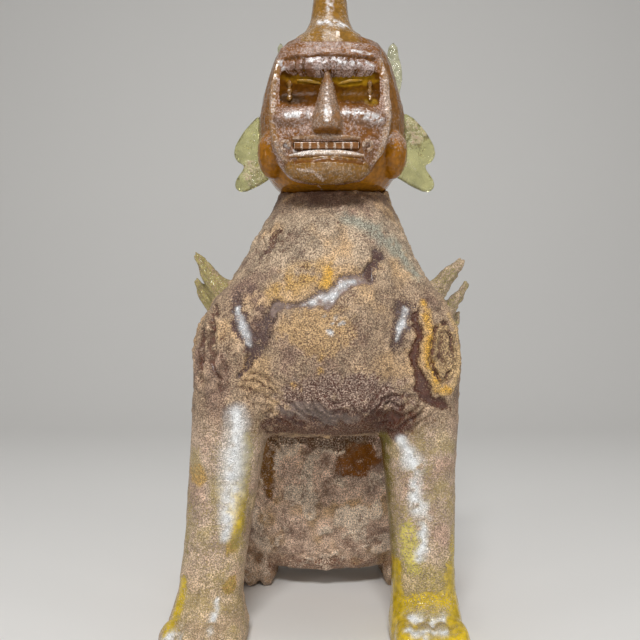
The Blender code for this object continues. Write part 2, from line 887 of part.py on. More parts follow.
def make_tail(rump, torso):
    path = catmull_rom(TAIL_PATH, 3)
    points = laid_on(surface_tree(rump, torso), path, from_back=True)
    return fuse_onto(tube("tail", rounded_end(points)), rump, torso)


def make_glass(name, colour, roughness, transmission):
    material = bpy.data.materials.new(name)
    material.use_nodes = True
    shader = material.node_tree.nodes["Principled BSDF"]
    shader.inputs["Base Color"].default_value = (*colour, 1)
    shader.inputs["Roughness"].default_value = roughness
    shader.inputs["Metallic"].default_value = 0.0
    shader.inputs["Transmission Weight"].default_value = transmission
    return material


def build():
    torso = make_torso()
    rump = make_rump(torso)
    head = make_head()
    plate = make_face_plate(head)
    neck = make_neck(head)
    teeth = make_teeth()
    nose = make_nose(plate, head)
    brow = trail("brow_ridge", [plate], with_radius(BROW_PATH, BROW_RADIUS))
    upper_lip = trail("upper_lip", [plate], with_radius(UPPER_LIP_PATH, UPPER_LIP_RADIUS))
    rims = make_face_rims(plate)
    lower_lip = trail("lower_lip", [plate], with_radius(LOWER_LIP_PATH, LOWER_LIP_RADIUS))
    chin = make_chin(plate, head, rims)
    fuse_onto(lower_lip, *rims, chin)
    lip_curls = make_lip_curls(plate, rims, teeth, lower_lip)
    cheekbones = make_cheekbones(plate, nose, rims)
    eye_details = make_eyelids(plate) + make_eye_beads(plate)
    cheeks = make_cheeks(head, plate, neck)
    horn = make_horn(head)
    ears = make_ears(head, cheeks)
    legs = make_front_legs(torso, rump)
    front_paws = make_front_paws()
    haunches = make_haunches(rump, torso)
    hind_paws = make_hind_paws(haunches, rump)
    tufts = make_tufts(torso, legs)
    whorls = make_whorls(legs)
    tail = make_tail(rump, torso)

    for piece in [torso, rump, neck, *legs, *front_paws, *haunches, *hind_paws, *tufts, *whorls, tail]:
        finish(piece, "crusted_amber_glass")
    for piece in [head, plate, teeth, nose, brow, upper_lip, lower_lip, chin, *cheeks, horn]:
        finish(piece, "amber_glass")
    for piece in [*rims, *lip_curls, *cheekbones, *eye_details]:
        finish(piece, "amber_glass")
    for piece in ears:
        finish(piece, "pale_glass")


clear_scene()
PARTS = new_collection("glass_guardian_beast")
CUTTERS = new_collection("cutters")
FRAME = bpy.data.objects.new("statue_frame", None)
PARTS.objects.link(FRAME)
FRAME.location = (CENTRING[0] * MM, CENTRING[1] * MM, GROUND)
GLASS = {name: make_glass(name, **look) for name, look in MATERIALS.items()}
GROUND_BLOCK = block("ground_cutter", (-90, -90, -40), (90, 90, GROUND), CUTTERS)
build()
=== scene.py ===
"""Looks of the seated guardian beast: amber glass under a crust of sand, clay and ochre.

The solids of the body and of the head are each melted into one skin, so that the seams run together as in
hot glass. The skin is weathered, painted with masks, and cut up again into one closed piece for each solid.
"""

import math
from types import SimpleNamespace

import bmesh
import bpy
import numpy as np
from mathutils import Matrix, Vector
from mathutils.bvhtree import BVHTree


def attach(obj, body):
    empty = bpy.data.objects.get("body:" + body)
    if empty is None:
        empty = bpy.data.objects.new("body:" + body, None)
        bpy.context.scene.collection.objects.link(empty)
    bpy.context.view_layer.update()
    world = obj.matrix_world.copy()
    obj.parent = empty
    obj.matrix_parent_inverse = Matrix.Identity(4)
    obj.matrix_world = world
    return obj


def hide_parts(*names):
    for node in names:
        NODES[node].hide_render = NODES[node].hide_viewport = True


MM = 0.001
TINY = 1e-20
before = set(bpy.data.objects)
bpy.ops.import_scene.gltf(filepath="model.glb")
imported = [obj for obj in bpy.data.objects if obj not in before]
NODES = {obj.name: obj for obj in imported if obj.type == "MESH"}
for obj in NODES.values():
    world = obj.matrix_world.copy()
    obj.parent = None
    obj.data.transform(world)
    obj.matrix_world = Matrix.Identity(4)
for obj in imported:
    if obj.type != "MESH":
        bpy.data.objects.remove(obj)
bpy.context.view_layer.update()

# Which solids are melted together, and which stay pieces of their own
SIDES = ("left", "right")
BODY_PAIRS = (
    "front_leg", "front_paw", "haunch", "hind_paw", "shoulder_whorl", "tuft_upper", "tuft_lower",
)
HEAD_PAIRS = ("cheek", "cheekbone", "face_rim")
BODY_NODES = ["torso", "rump", "neck", "tail", "left_tuft_middle"]
BODY_NODES += [f"{side}_{part}" for side in SIDES for part in BODY_PAIRS]
HEAD_NODES = ["head", "face_plate", "horn", "brow_ridge", "nose", "chin"]
HEAD_NODES += [f"{side}_{part}" for side in SIDES for part in HEAD_PAIRS]
FINE_NODES = [name for name in NODES if name not in BODY_NODES + HEAD_NODES]

# Sizes of the skin in metres
WELD = 0.001 * MM
SWELL = 0.4 * MM
FINE_SWELL = 0.12 * MM
BODY_VOXEL = 0.75 * MM
HEAD_VOXEL = 0.5 * MM
FINE_VOXEL = 0.2 * MM
EAR_VOXEL = 0.45 * MM

# Rounds of relaxing, the step of each round, and the share of that step which crisp solids take
BODY_MELT = 40
HEAD_MELT = 4
EYE_MELT = 40
FINE_MELT = 2
EAR_MELT = 6
RELAX_STEP = 0.5
CRISP_SHARE = 0.08

# Where the caps of a piece meet: this deep under its rim, with a step from piece to piece, or for the head
# round one point in millimetres
CAP_DEPTH = 2.0 * MM
CAP_STEP = 0.2 * MM
HEAD_CORE = (2.0, -26.0, 214.0)

# Camera of the photograph: its place, and its focal length and raised centre in pixels of the frame
FRAME_PIXELS = 640
FOCAL_PIXELS = 642
RISE_PIXELS = 10
CAMERA_PLACE = (-3.0 * MM, -305.0 * MM, 127.0 * MM)
SENSOR = 36.0

# Named noise: the width of its features in millimetres, its seed and its layers
NOISES = {
    "side": (6, 11, 4), "rise": (6, 21, 4), "ragged": (2.6, 81, 3), "gaps": (3, 313, 3),
    "patchy": (14, 31, 3), "broken": (5, 41, 3), "blotches": (9, 37, 3), "islands": (8, 131, 4),
    "mottle": (2.6, 63, 3), "folds": (8, 101, 3), "uneven": (22, 51, 3), "lumps": (3.6, 61, 3),
    "pits": (1.7, 71, 1), "plates": (11, 57, 4), "film_breaks": (4, 43, 3), "film_clouds": (11, 45, 3),
    "film_frays": (1.6, 83, 3), "fine": (4, 47, 3),
}
LAYER_FALL = 0.55
LATTICE_PRIMES = (374761393, 668265263, 2147483647, 974634599)
LATTICE_MIX = 1274126177
LATTICE_TOP = 0xFFFFFF


# Number helpers

def fade(low, high, value):
    """0 at low and 1 at high, with soft ends."""
    share = np.clip((value - low) / (high - low), 0.0, 1.0)
    return share * share * (3.0 - 2.0 * share)


def lattice(ix, iy, iz, seed):
    """A repeatable number from 0 to 1 for each lattice point."""
    mixed = sum(place * prime for place, prime in zip((ix, iy, iz, seed), LATTICE_PRIMES))
    mixed = (mixed ^ (mixed >> 13)) * LATTICE_MIX
    mixed = mixed ^ (mixed >> 16)
    return (mixed & LATTICE_TOP) / LATTICE_TOP


def value_noise(points, cell, seed):
    """Smooth noise from -1 to 1 with features about one cell wide."""
    scaled = points / cell
    base = np.floor(scaled).astype(np.int64)
    part = scaled - base
    part = part * part * part * (part * (part * 6 - 15) + 10)
    total = np.zeros(len(points))
    for corner in range(8):
        step = np.array([corner & 1, corner >> 1 & 1, corner >> 2 & 1])
        weight = np.prod(np.where(step == 1, part, 1 - part), axis=1)
        x, y, z = (base + step).T
        total += weight * lattice(x, y, z, seed)
    return total * 2 - 1


def noise(points, name):
    """The noise of that name: layers of ever finer and weaker features."""
    width, seed, layers = NOISES[name]
    total = np.zeros(len(points))
    strength = 1.0
    for layer in range(layers):
        total += strength * value_noise(points, width * MM / 2**layer, seed + layer)
        strength *= LAYER_FALL
    return total


def path_mask(across, up, path, inner, outer):
    """1 on a path of (x, z, half width), falling to 0 from the inner to the outer share of that width."""
    reach = np.full(len(across), np.inf)
    for (ax, az, ar), (bx, bz, br) in zip(path, path[1:]):
        dx, dz = bx - ax, bz - az
        share = np.clip(((across - ax) * dx + (up - az) * dz) / (dx * dx + dz * dz), 0, 1)
        gap = np.hypot(across - ax - share * dx, up - az - share * dz)
        reach = np.minimum(reach, gap / (ar + (br - ar) * share))
    return 1 - fade(inner, outer, reach)


OVAL_STEPS = 16


def oval(x, z, half_width, half_height, line):
    """A closed path round an oval, with the line's own half width."""
    turns = [2 * math.pi * i / OVAL_STEPS for i in range(OVAL_STEPS + 1)]
    return [(x + half_width * math.cos(turn), z + half_height * math.sin(turn), line) for turn in turns]


PATCH_FADE = (0.6, 1.2)


def patch_mask(across, up, patch):
    """1 inside an ellipse of (x, z, half width, half height), falling to 0 across its edge."""
    x, z, half_width, half_height = patch
    reach = np.hypot((across - x) / half_width, (up - z) / half_height)
    return 1 - fade(*PATCH_FADE, reach)


# Mesh helpers

def add_object(name, data):
    obj = bpy.data.objects.new(name, data)
    bpy.context.scene.collection.objects.link(obj)
    return obj


def gather(names, swell):
    """The solids' welded and swollen points, their faces, and each face's number in names."""
    points, faces, owner = [], [], []
    for number, name in enumerate(names):
        shape = bmesh.new()
        shape.from_mesh(NODES[name].data)
        shape.transform(NODES[name].matrix_world)
        bmesh.ops.remove_doubles(shape, verts=shape.verts, dist=WELD)
        bmesh.ops.recalc_face_normals(shape, faces=shape.faces)
        shape.normal_update()
        shape.verts.index_update()
        start = len(points)
        points += [vert.co + vert.normal * swell for vert in shape.verts]
        faces += [[start + vert.index for vert in face.verts] for face in shape.faces]
        owner += [number] * len(shape.faces)
        shape.free()
    return points, faces, owner


def melt_together(names, voxel, swell):
    """One closed skin round the solids: points and four-cornered faces."""
    points, faces, _ = gather(names, swell)
    mesh = bpy.data.meshes.new("melt")
    mesh.from_pydata(points, [], faces)
    obj = add_object("melt", mesh)
    remesh = obj.modifiers.new("melt", "REMESH")
    remesh.mode = "VOXEL"
    remesh.voxel_size = voxel
    graph = bpy.context.evaluated_depsgraph_get()
    melted = obj.evaluated_get(graph).to_mesh()
    skin = np.empty(len(melted.vertices) * 3)
    melted.vertices.foreach_get("co", skin)
    corners = np.empty(len(melted.loops), np.int64)
    melted.loops.foreach_get("vertex_index", corners)
    bpy.data.objects.remove(obj)
    bpy.data.meshes.remove(mesh)
    return skin.reshape(-1, 3), corners.reshape(-1, 4)


def skin_edges(quads):
    pairs = np.concatenate([quads[:, [i, (i + 1) % 4]] for i in range(4)])
    return np.unique(np.sort(pairs, axis=1), axis=0)


def neighbour_mean(values, edges):
    """Each point's mean over its neighbours."""
    count = np.bincount(edges.ravel(), minlength=len(values))
    total = np.empty_like(values)
    for axis in range(values.shape[1]):
        column = values[:, axis]
        total[:, axis] = np.bincount(edges[:, 0], column[edges[:, 1]], len(values))
        total[:, axis] += np.bincount(edges[:, 1], column[edges[:, 0]], len(values))
    return total / np.maximum(count, 1)[:, None]


def relaxed(points, edges, rounds, weight):
    """The points after moving towards their neighbours, each by its own weight."""
    for _ in range(rounds):
        points = points + RELAX_STEP * weight[:, None] * (neighbour_mean(points, edges) - points)
    return points


def point_normals(points, quads):
    a, b, c, d = (points[quads[:, i]] for i in range(4))
    face = np.cross(c - a, d - b)
    normals = np.zeros_like(points)
    for i in range(4):
        for axis in range(3):
            normals[:, axis] += np.bincount(quads[:, i], face[:, axis], len(points))
    return normals / np.maximum(np.linalg.norm(normals, axis=1), TINY)[:, None]


def nearest_nodes(names, places):
    """For each place, the number in names of the solid that it lies nearest to."""
    points, faces, owner = gather(names, 0.0)
    tree = BVHTree.FromPolygons(points, faces)
    return np.array([owner[tree.find_nearest(Vector(place))[2]] for place in places])


def has_name(names, labels, *endings):
    """True for each point whose solid's name ends in one of the endings."""
    chosen = np.array([name.endswith(endings) for name in names])
    return chosen[labels]


def rim_groups(count, starts, ends):
    """A number for each point, equal for points on one connected rim."""
    group = np.arange(count)
    for _ in range(count):
        low = np.minimum(group[starts], group[ends])
        changed = group.copy()
        np.minimum.at(changed, starts, low)
        np.minimum.at(changed, ends, low)
        changed = changed[changed]
        if np.array_equal(changed, group):
            return group
        group = changed
    return group


SHADER_LAYERS = ("sand", "glass", "crust", "rough", "clear", "gloss")


def cut_piece(points, quads, normals, paint, number, core=None):
    """A closed mesh from some faces of the skin: its open rims are capped deep inside the glass."""
    used, local = np.unique(quads, return_inverse=True)
    local = local.reshape(-1, 4)
    starts = np.concatenate([local[:, i] for i in range(4)])
    ends = np.concatenate([local[:, (i + 1) % 4] for i in range(4)])
    forward = starts * len(used) + ends
    backward = ends * len(used) + starts
    rim = ~np.isin(forward, backward)
    rim_starts, rim_ends = starts[rim], ends[rim]
    group = rim_groups(len(used), rim_starts, rim_ends)
    rims, member = np.unique(group[rim_starts], return_inverse=True)
    inner = []
    for rim_number in range(len(rims)):
        ring = used[rim_starts[member == rim_number]]
        if core is None:
            depth = CAP_DEPTH + number * CAP_STEP
            inner.append(points[ring].mean(axis=0) - normals[ring].mean(axis=0) * depth)
        else:
            inner.append(np.array(core) * MM + CAP_STEP * number)
    co = np.concatenate([points[used], np.array(inner).reshape(-1, 3)])
    caps = np.stack([rim_ends, rim_starts, len(used) + member], axis=1)
    piece_paint = {}
    for name in SHADER_LAYERS:
        values = paint[name][used]
        sealed = np.repeat(values.mean(axis=0, keepdims=True), len(rims), axis=0)
        piece_paint[name] = np.concatenate([values, sealed])
    return co, local, caps, normals[used], piece_paint


def set_paint(mesh, paint):
    """Keeps the paint on the mesh's points, where the material reads it."""
    for name, values in paint.items():
        if values.ndim == 2:
            attribute = mesh.attributes.new(name, "FLOAT_COLOR", "POINT")
            values = np.column_stack([values, np.ones(len(values))])
            attribute.data.foreach_set("color", values.astype(np.float32).ravel())
        else:
            attribute = mesh.attributes.new(name, "FLOAT", "POINT")
            attribute.data.foreach_set("value", values.astype(np.float32))


def add_piece(node, co, quads, caps, normals, paint, material):
    """The piece that stands for a node: smooth on the skin, and flat on the caps."""
    mesh = bpy.data.meshes.new(f"{node}_glass")
    mesh.from_pydata(co.tolist(), [], quads.tolist() + caps.tolist())
    mesh.shade_smooth()
    set_paint(mesh, paint)
    corner_normals = np.zeros((len(mesh.loops), 3))
    corner_normals[: quads.size] = normals[quads.ravel()]
    if len(caps):
        a, b, c = (co[caps[:, i]] for i in range(3))
        face = np.cross(b - a, c - a)
        face /= np.maximum(np.linalg.norm(face, axis=1), TINY)[:, None]
        corner_normals[quads.size :] = np.repeat(face, 3, axis=0)
    mesh.normals_split_custom_set(corner_normals.tolist())
    mesh.materials.append(material)
    obj = add_object(f"{node}_glass", mesh)
    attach(obj, "root")
    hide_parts(node)


def add_pieces(names, co, quads, labels, paint, material, core=None):
    """Cuts the skin up into one piece for each solid."""
    normals = point_normals(co, quads)
    # A face goes to the lower middle one of its corners' solids
    owner = np.sort(labels[quads], axis=1)[:, 1]
    for number, node in enumerate(names):
        add_piece(node, *cut_piece(co, quads[owner == number], normals, paint, number, core), material)


# Colours, as linear red, green and blue
TAN = (0.40, 0.28, 0.18)
# Paler sand of the upper chest: painted light, as if lit from above
TOP_LIT_TAN = (0.46, 0.345, 0.235)
WARM_SAND = (0.50, 0.33, 0.18)
BROWN_SAND = (0.25, 0.155, 0.10)
LEG_SAND = (0.49, 0.36, 0.265)
DUST = (0.37, 0.25, 0.19)
MAUVE_DUST = (0.28, 0.175, 0.128)
OCHRE = (0.50, 0.30, 0.095)
BRIGHT_OCHRE = (0.64, 0.35, 0.05)
MOSS = (0.42, 0.34, 0.09)
GREY_GREEN = (0.36, 0.345, 0.27)
FILM_GREY = (0.25, 0.18, 0.155)
FILM_SAND = (0.31, 0.225, 0.175)
RED_GLASS = (0.09, 0.028, 0.015)
PLUM_GLASS = (0.09, 0.048, 0.042)
DEEP_AMBER = (0.105, 0.038, 0.004)
STRAW = (0.46, 0.34, 0.08)
PALE_STRAW = (0.62, 0.52, 0.12)
YELLOW = (0.74, 0.51, 0.015)
OLIVE = (0.25, 0.195, 0.04)
DARK_OLIVE = (0.15, 0.12, 0.018)
PALE_GLASS = (0.80, 0.77, 0.38)
LEAF_GLASS = (0.84, 0.83, 0.58)

# What paint holds: sand and glass are colours, crust is how much of the glass is covered, rough is the bare
# glass's roughness, clear is how far one sees into it, gloss is how much it reflects, and height is in
# millimetres off the surface. Values that are laid down name only what they change.

def full_look(sand, glass, crust, rough, clear=0.0, gloss=1.0):
    """Values for all that paint holds."""
    return dict(sand=sand, glass=glass, crust=crust, rough=rough, clear=clear, gloss=gloss, height=0.0)


def glassy(glass, crust, rough, **more):
    """Values for a place where some of the glass shows."""
    return dict(glass=glass, crust=crust, rough=rough, **more)


# Zones of the body
BODY_LOOK = full_look(TAN, (0.14, 0.06, 0.036), 0.80, 0.3)
# Darker sand at the top of the neck: painted shade under the chin
NECK_SHADE_LOOK = {"sand": BROWN_SAND, "crust": 0.66}
LEG_LOOK = glassy((0.44, 0.325, 0.14), 0.70, 0.12, sand=LEG_SAND)
LEG_CAKED = {"sand": (0.45, 0.295, 0.215), "crust": 0.86}
LEG_WORN = {"sand": (0.55, 0.42, 0.24), "crust": 0.52}
RIGHT_SHIN = {"sand": (0.62, 0.46, 0.29)}
LEFT_SHIN = {"sand": (0.50, 0.38, 0.20), "glass": (0.52, 0.40, 0.10), "crust": 0.60}
# The rump's front under the chest, painted paler: painted light where the chest shades it
UNDER_CHEST_LIGHT_LOOK = {"sand": (0.69, 0.50, 0.38), "glass": (0.26, 0.135, 0.08), "crust": 0.80}
# Hind paws: glossy pink glass, painted lighter as painted light where the front legs shade them
HIND_PAW_LIT_LOOK = glassy((0.46, 0.28, 0.16), 0.38, 0.1)
ISLAND_LOOK = {"sand": (0.77, 0.62, 0.48), "crust": 0.88, "height": 0.8}
TUFT_LOOK = glassy((0.50, 0.42, 0.15), 0.42, 0.13, clear=0.4, sand=TAN)
LEFT_TUFT_LOOK = {"sand": (0.42, 0.31, 0.215), "crust": 0.62}
LEFT_WHORL_LOOK = {"sand": (0.53, 0.36, 0.18), "crust": 0.86, "height": 0.5}
RIGHT_WHORL_LOOK = {"crust": 0.88, "height": 0.3}

# Places in millimetres over which one zone of the body fades into the next, as heights and then as depths,
# and the middles of the front legs across
# The upper chest turns paler over these heights: painted light from above
CHEST_TOP_LIGHT = (138, 160)
# The neck turns darker over these heights: painted shade under the chin
UNDER_CHIN_SHADE = (170, 186)
LEG_TOP = (100, 78)
LEG_CALM_TOP = (104, 84)
RIGHT_SHIN_TOP = (44, 20)
LEFT_SHIN_TOP = (50, 26)
HIND_PAW_TOP = (34, 10)
BARE_SIDE_TOP = (20, 42)
UNDER_DEPTH = (20, -5)
BARE_LEG_DEPTH = (-27, -42)
LEFT_LEG_MIDDLE = 38
RIGHT_LEG_MIDDLE = -46
# How far noise moves those places, and how much further back bare glass shows on the legs' inner sides
TOP_WAVER = 8
BARE_SIDE_WAVER = 10
DEPTH_WAVER = 9
DEPTH_FRAY = 4
INNER_REACH = 14

# How far a surface has to face the front, or the side, to count
FRONT_FADE = (0.0, 0.4)
UNDER_FADE = (0.1, 0.6)
SHIN_FADE = (-0.5, 0.4)
SIDE_FADE = (0.7, 0.95)

# Levels of noise between which patches fade in, and the shares that patches cover or bare glass loses
CLOUD_FADE = (0.1, 0.9)
BLOTCH_FADE = (0.1, 0.8)
ISLAND_FADE = (0.05, 0.4)
MAUVE_SHARE = 0.75
MAUVE_LOSS_ON_LEGS = 0.45
BLOTCH_SHARE = 0.8
RIGHT_SHIN_SHARE = 0.6
LEFT_SHIN_SHARE = 0.8
SIDE_LOSS = 0.8
ISLANDS_BEHIND = 0.25
ISLANDS_UNDER = 0.75
# How much noise varies the cover of the crust, and its colour
CLOUD_COVER = 0.10
BREAK_COVER = 0.12
MOTTLE = 0.20
BREAK_MOTTLE = 0.16
MOTTLE_RANGE = (0.4, 1.6)

# Marks: paths of (x, z, half width) and patches of (x, z, half width, half height) in millimetres of the
# front view, each with the values that it lays down
CHEST_STAINS = [
    (
        [(7.5, 172, 2.4), (19, 168, 3.4), (25.8, 163, 3.6), (32.3, 155, 3.2), (37.6, 148.6, 2.0)],
        {"sand": GREY_GREEN},
    ),
    ([(-20, 141, 3.6), (-14, 146, 5.4), (-5, 148, 5.6), (2, 147, 4.0)], {"sand": OCHRE}),
    ([(0.5, 152, 2.0), (0.9, 149.5, 2.8), (-1.2, 145, 1.8)], {"sand": BRIGHT_OCHRE, "crust": 0.92}),
    ([(-1.7, 133, 1.8), (-3, 125, 2.2), (-2.4, 112, 1.6)], {"sand": OCHRE}),
    ([(-13.5, 105.5, 1.6), (-9, 103, 2.4)], {"sand": BRIGHT_OCHRE}),
    ([(4, 103.5, 2.6), (8, 102, 2.0)], {"sand": MOSS}),
    (
        [(37.5, 138, 1.8), (39.6, 128, 2.2), (39.6, 116, 2.0), (42, 106, 2.0), (48, 103, 1.6)],
        {"sand": BRIGHT_OCHRE},
    ),
    (
        [(-36.5, 140, 3.4), (-31, 143, 4.0), (-26, 137, 2.6)],
        {"sand": MAUVE_DUST, "crust": 0.55, "glass": PLUM_GLASS},
    ),
]
CHEST_PATHS_AND_SHADE = [
    (
        [(-20.7, 135, 2.4), (-25.2, 129, 3.6), (-27.2, 122, 3.4), (-29.8, 116, 2.0), (-34, 109, 1.2)],
        glassy(PLUM_GLASS, 0.34, 0.25, height=-0.6),
    ),
    (
        [
            (-20.7, 135, 1.5), (-17.4, 136.6, 1.6), (-5.6, 137.6, 2.0), (-0.4, 139.4, 3.2),
            (7.5, 145.2, 3.4), (15.3, 147, 3.0), (18.2, 152, 2.4), (19.9, 158.4, 2.2),
        ],
        glassy(FILM_GREY, 0.16, 0.22, height=-0.6),
    ),
    ([(16.5, 149, 2.6), (18.4, 153, 2.3), (19.9, 158, 2.0)], {"glass": PLUM_GLASS, "rough": 0.2}),
    ([(-36, 136.2, 2.6), (-33.7, 129, 3.2), (-30.2, 120.5, 2.4)], glassy(PLUM_GLASS, 0.2, 0.2)),
    ([(31, 136, 3.4), (29, 129, 3.8), (26.6, 121, 2.8)], glassy(PLUM_GLASS, 0.34, 0.2)),
    (
        [
            (34.6, 134, 1.2), (35.2, 123.7, 1.7), (34.3, 114.6, 1.8), (35.4, 106.7, 2.0), (39.5, 101, 2.2),
            (46.7, 96.3, 1.7),
        ],
        glassy(RED_GLASS, 0.14, 0.3, height=-0.9),
    ),
    (
        [(-27, 157, 0.7), (-24.5, 160, 1.3), (-22, 166, 1.0), (-18, 168.5, 0.6)],
        {"crust": 0.4, "height": -0.8},
    ),
    (
        [(-45.5, 137, 0.6), (-46.5, 125, 0.9), (-45, 112, 0.9), (-41, 108, 0.7)],
        {"crust": 0.35, "height": -0.8},
    ),
    ([(-51, 128, 0.6), (-51.5, 119, 0.8), (-50, 111, 0.6)], {"crust": 0.35, "height": -0.7}),
    # A red-brown band along the chest's lower edge over the arch, partly painted shade
    (
        [(-24, 85.0, 1.8), (5, 85.4, 2.0), (31, 85.0, 1.8)],
        {"crust": 0.45, "glass": RED_GLASS, "sand": BROWN_SAND},
    ),
    (oval(45.2, 118, 4.8, 11.6, 0.7), {"crust": 0.2, "height": -0.9}),
    ([(44.4, 123, 0.8), (44.0, 117, 1.0), (45.4, 112.5, 0.8)], {"crust": 0.3, "height": -0.5}),
]
CHEST_PATCHES_AND_SHADE = [
    ((-4, 127, 16, 11), {"sand": (0.49, 0.315, 0.155)}),
    ((1, 113, 26, 12), {"crust": 0.72}),
    # The lower chest: red-brown glass, darker towards the arch as partly painted shade, with two grey films
    # on it
    ((6, 100, 28, 11), {"crust": 0.46, "glass": RED_GLASS, "sand": (0.53, 0.385, 0.30)}),
    ((4, 89, 36, 6.5), glassy(RED_GLASS, 0.40, 0.16, sand=(0.40, 0.26, 0.18))),
    ((-9, 95, 11, 4), glassy(FILM_GREY, 0.52, 0.25, sand=FILM_SAND)),
    ((4, 91.5, 10, 3.4), glassy(FILM_GREY, 0.48, 0.25, sand=FILM_SAND)),
    ((25, 91, 13, 6), glassy(RED_GLASS, 0.38, 0.2, sand=BROWN_SAND)),
    ((45.2, 118, 5, 11.4), {"sand": (0.49, 0.335, 0.17), "crust": 0.66}),
]
LEG_PATHS = [
    ([(22.4, 82, 2.6), (23.6, 48, 3.2), (26.0, 22, 3.2)], glassy(DARK_OLIVE, 0.06, 0.1, gloss=0.5)),
    ([(53.4, 46, 2.0), (52.6, 25, 4.8), (53.2, 6, 5.2)], glassy(YELLOW, 0.02, 0.08, clear=0.5)),
    ([(27.0, 32, 2.2), (27.2, 14, 4.4), (26.0, 5, 4.8)], glassy(YELLOW, 0.02, 0.08, clear=0.5)),
    ([(27, 10.2, 2.6), (38, 9.4, 3.2), (52, 10.2, 2.8)], glassy(YELLOW, 0.08, 0.1, clear=0.2)),
    ([(31, 18.6, 1.6), (40, 19.6, 2.2), (50, 19, 2.6)], glassy(YELLOW, 0.30, 0.1, clear=0.2)),
    ([(-31.6, 84, 1.8), (-33.4, 60, 2.4), (-35.6, 40, 1.8)], glassy(STRAW, 0.15, 0.1, clear=0.3)),
    ([(-59.0, 26, 1.8), (-61, 12, 2.8)], glassy(YELLOW, 0.15, 0.12, clear=0.3)),
    ([(-57.8, 72, 1.6), (-58.2, 52, 2.2), (-58.8, 38, 1.6)], glassy(STRAW, 0.2, 0.12, clear=0.3)),
    ([(-36.8, 64, 2.0), (-37.2, 55, 3.2), (-37.4, 47, 2.0)], glassy(YELLOW, 0.1, 0.12)),
    ([(31.5, 48, 3.0), (33, 40, 4.8), (34, 31, 3.0)], glassy(PALE_STRAW, 0.34, 0.14)),
]
LEG_PATCHES = [
    ((-35, 70, 2.4, 9), glassy(OLIVE, 0.3, 0.2)),
    ((-52, 69, 4, 5), {"sand": OCHRE}),
    ((-38, 40, 3, 5), {"sand": OCHRE, "glass": STRAW, "crust": 0.5}),
    ((-38.5, 24, 3, 4), {"sand": OCHRE, "glass": STRAW, "crust": 0.55}),
]
RUMP_PATCHES_AND_SHADE = [
    ((15, 66, 12, 10), glassy((0.26, 0.085, 0.004), 0.10, 0.3, clear=0.25, gloss=0.4)),
    ((-27, 62, 5, 20), glassy((0.24, 0.10, 0.010), 0.18, 0.3, clear=0.25, gloss=0.4)),
    # Painted shade on the rump's top under the chest, then a darker red-brown along the rump's foot
    ((0, 76, 30, 5), {"crust": 0.35, "glass": DEEP_AMBER}),
    ((0, 12, 40, 6), {"crust": 0.55, "glass": (0.20, 0.07, 0.03)}),
]
# Painted highlights: the glass and the grains on it painted a pale sheen that stands in for reflections of
# the lamps
BARE_PAINTED_HIGHLIGHT = glassy((0.60, 0.61, 0.63), 0.48, 0.12, sand=(0.95, 0.95, 0.96))
BARE_PAINTED_HIGHLIGHT_PATHS = [
    [(-9, 137.6, 0.8), (-3, 138.8, 1.5), (1, 140.4, 2.2), (6, 143.6, 1.6), (12, 146.2, 0.9)],
    [(-35.4, 135, 0.9), (-33.2, 129, 1.5), (-30.6, 122, 0.9)],
    [(31.0, 135, 0.9), (29.2, 129, 1.5), (27.2, 123, 0.9)],
]
PAINTED_HIGHLIGHT = glassy((0.86, 0.87, 0.87), 0.36, 0.10, sand=(0.95, 0.95, 0.95))
PAINTED_HIGHLIGHT_PATHS = [
    [(29.5, 83, 2.0), (34, 72.5, 3.8)],
    [(35.5, 66, 2.2), (36.6, 55, 3.6)],
    [(37.2, 47, 2.0), (37.4, 36, 1.8)],
    [(31, 13.4, 1.6), (37, 13.0, 2.2), (45, 13.4, 1.6)],
    [(-0.5, 133.4, 0.5), (0.2, 133.0, 0.5)],
    [(2.2, 130.4, 0.4), (2.7, 130.0, 0.5)],
    [(3.6, 132.2, 0.6), (4.3, 131.6, 0.6)],
    [(5.6, 129.4, 0.7), (6.3, 128.8, 0.6)],
    [(0.9, 126.6, 0.8), (2.2, 125.8, 0.9)],
    [(-44, 19, 1.2), (-44.6, 14, 1.6)],
    [(-62, 9, 1.6), (-57, 11, 1.8)],
]
# A painted highlight down the right front leg, partly broken up
CLEAN_PAINTED_HIGHLIGHT_PATH = [(-35.8, 94, 3.6), (-37.0, 78, 5.4), (-38.8, 62, 4.6), (-41.0, 44, 2.2)]
CLEAN_PAINTED_HIGHLIGHT_FADE = (0.0, 1.7)
CLEAN_PAINTED_HIGHLIGHT_WAVER = 0.6
CLEAN_PAINTED_HIGHLIGHT_LOSS = 0.45

# How marks are laid: the shares of a half width over which they fade, and how far their edges waver
PATH_FADE = (0.4, 1.6)
SOFT_FADE = (0.0, 1.8)
LEG_FADE = (0.3, 1.6)
PATCH_EDGE = (0.15, 0.95)
PATH_EDGE = (0.1, 0.9)
GAP_FADE = (-1.1, 0.3)
RAGGED_REACH = 0.42
SOFT_WAVER = 1.2
CHEST_WAVER = 1.4
LEG_WAVER = 1.0
RUMP_WAVER = 1.8
LIP_FADE = (1.2, 2.6)
LIP_HEIGHT = 0.45

# Folds of the crust: the patch, the way they run in degrees, their pitch and their depth
FOLDS = [
    ((-6, 94, 20, 7), 55, 3.4, 0.8),
    ((28, 94, 15, 9), 125, 3.8, 0.8),
    ((-24, 163, 8, 8), -35, 3.6, 0.6),
    ((-46, 116, 9, 20), 8, 4.6, 0.5),
    ((-28, 104, 9, 8), 62, 3.8, 0.3),
]
FOLD_WAVER = 2.8
FOLD_BOTTOM = (-0.2, -0.8)
FOLD_THINS = 0.26
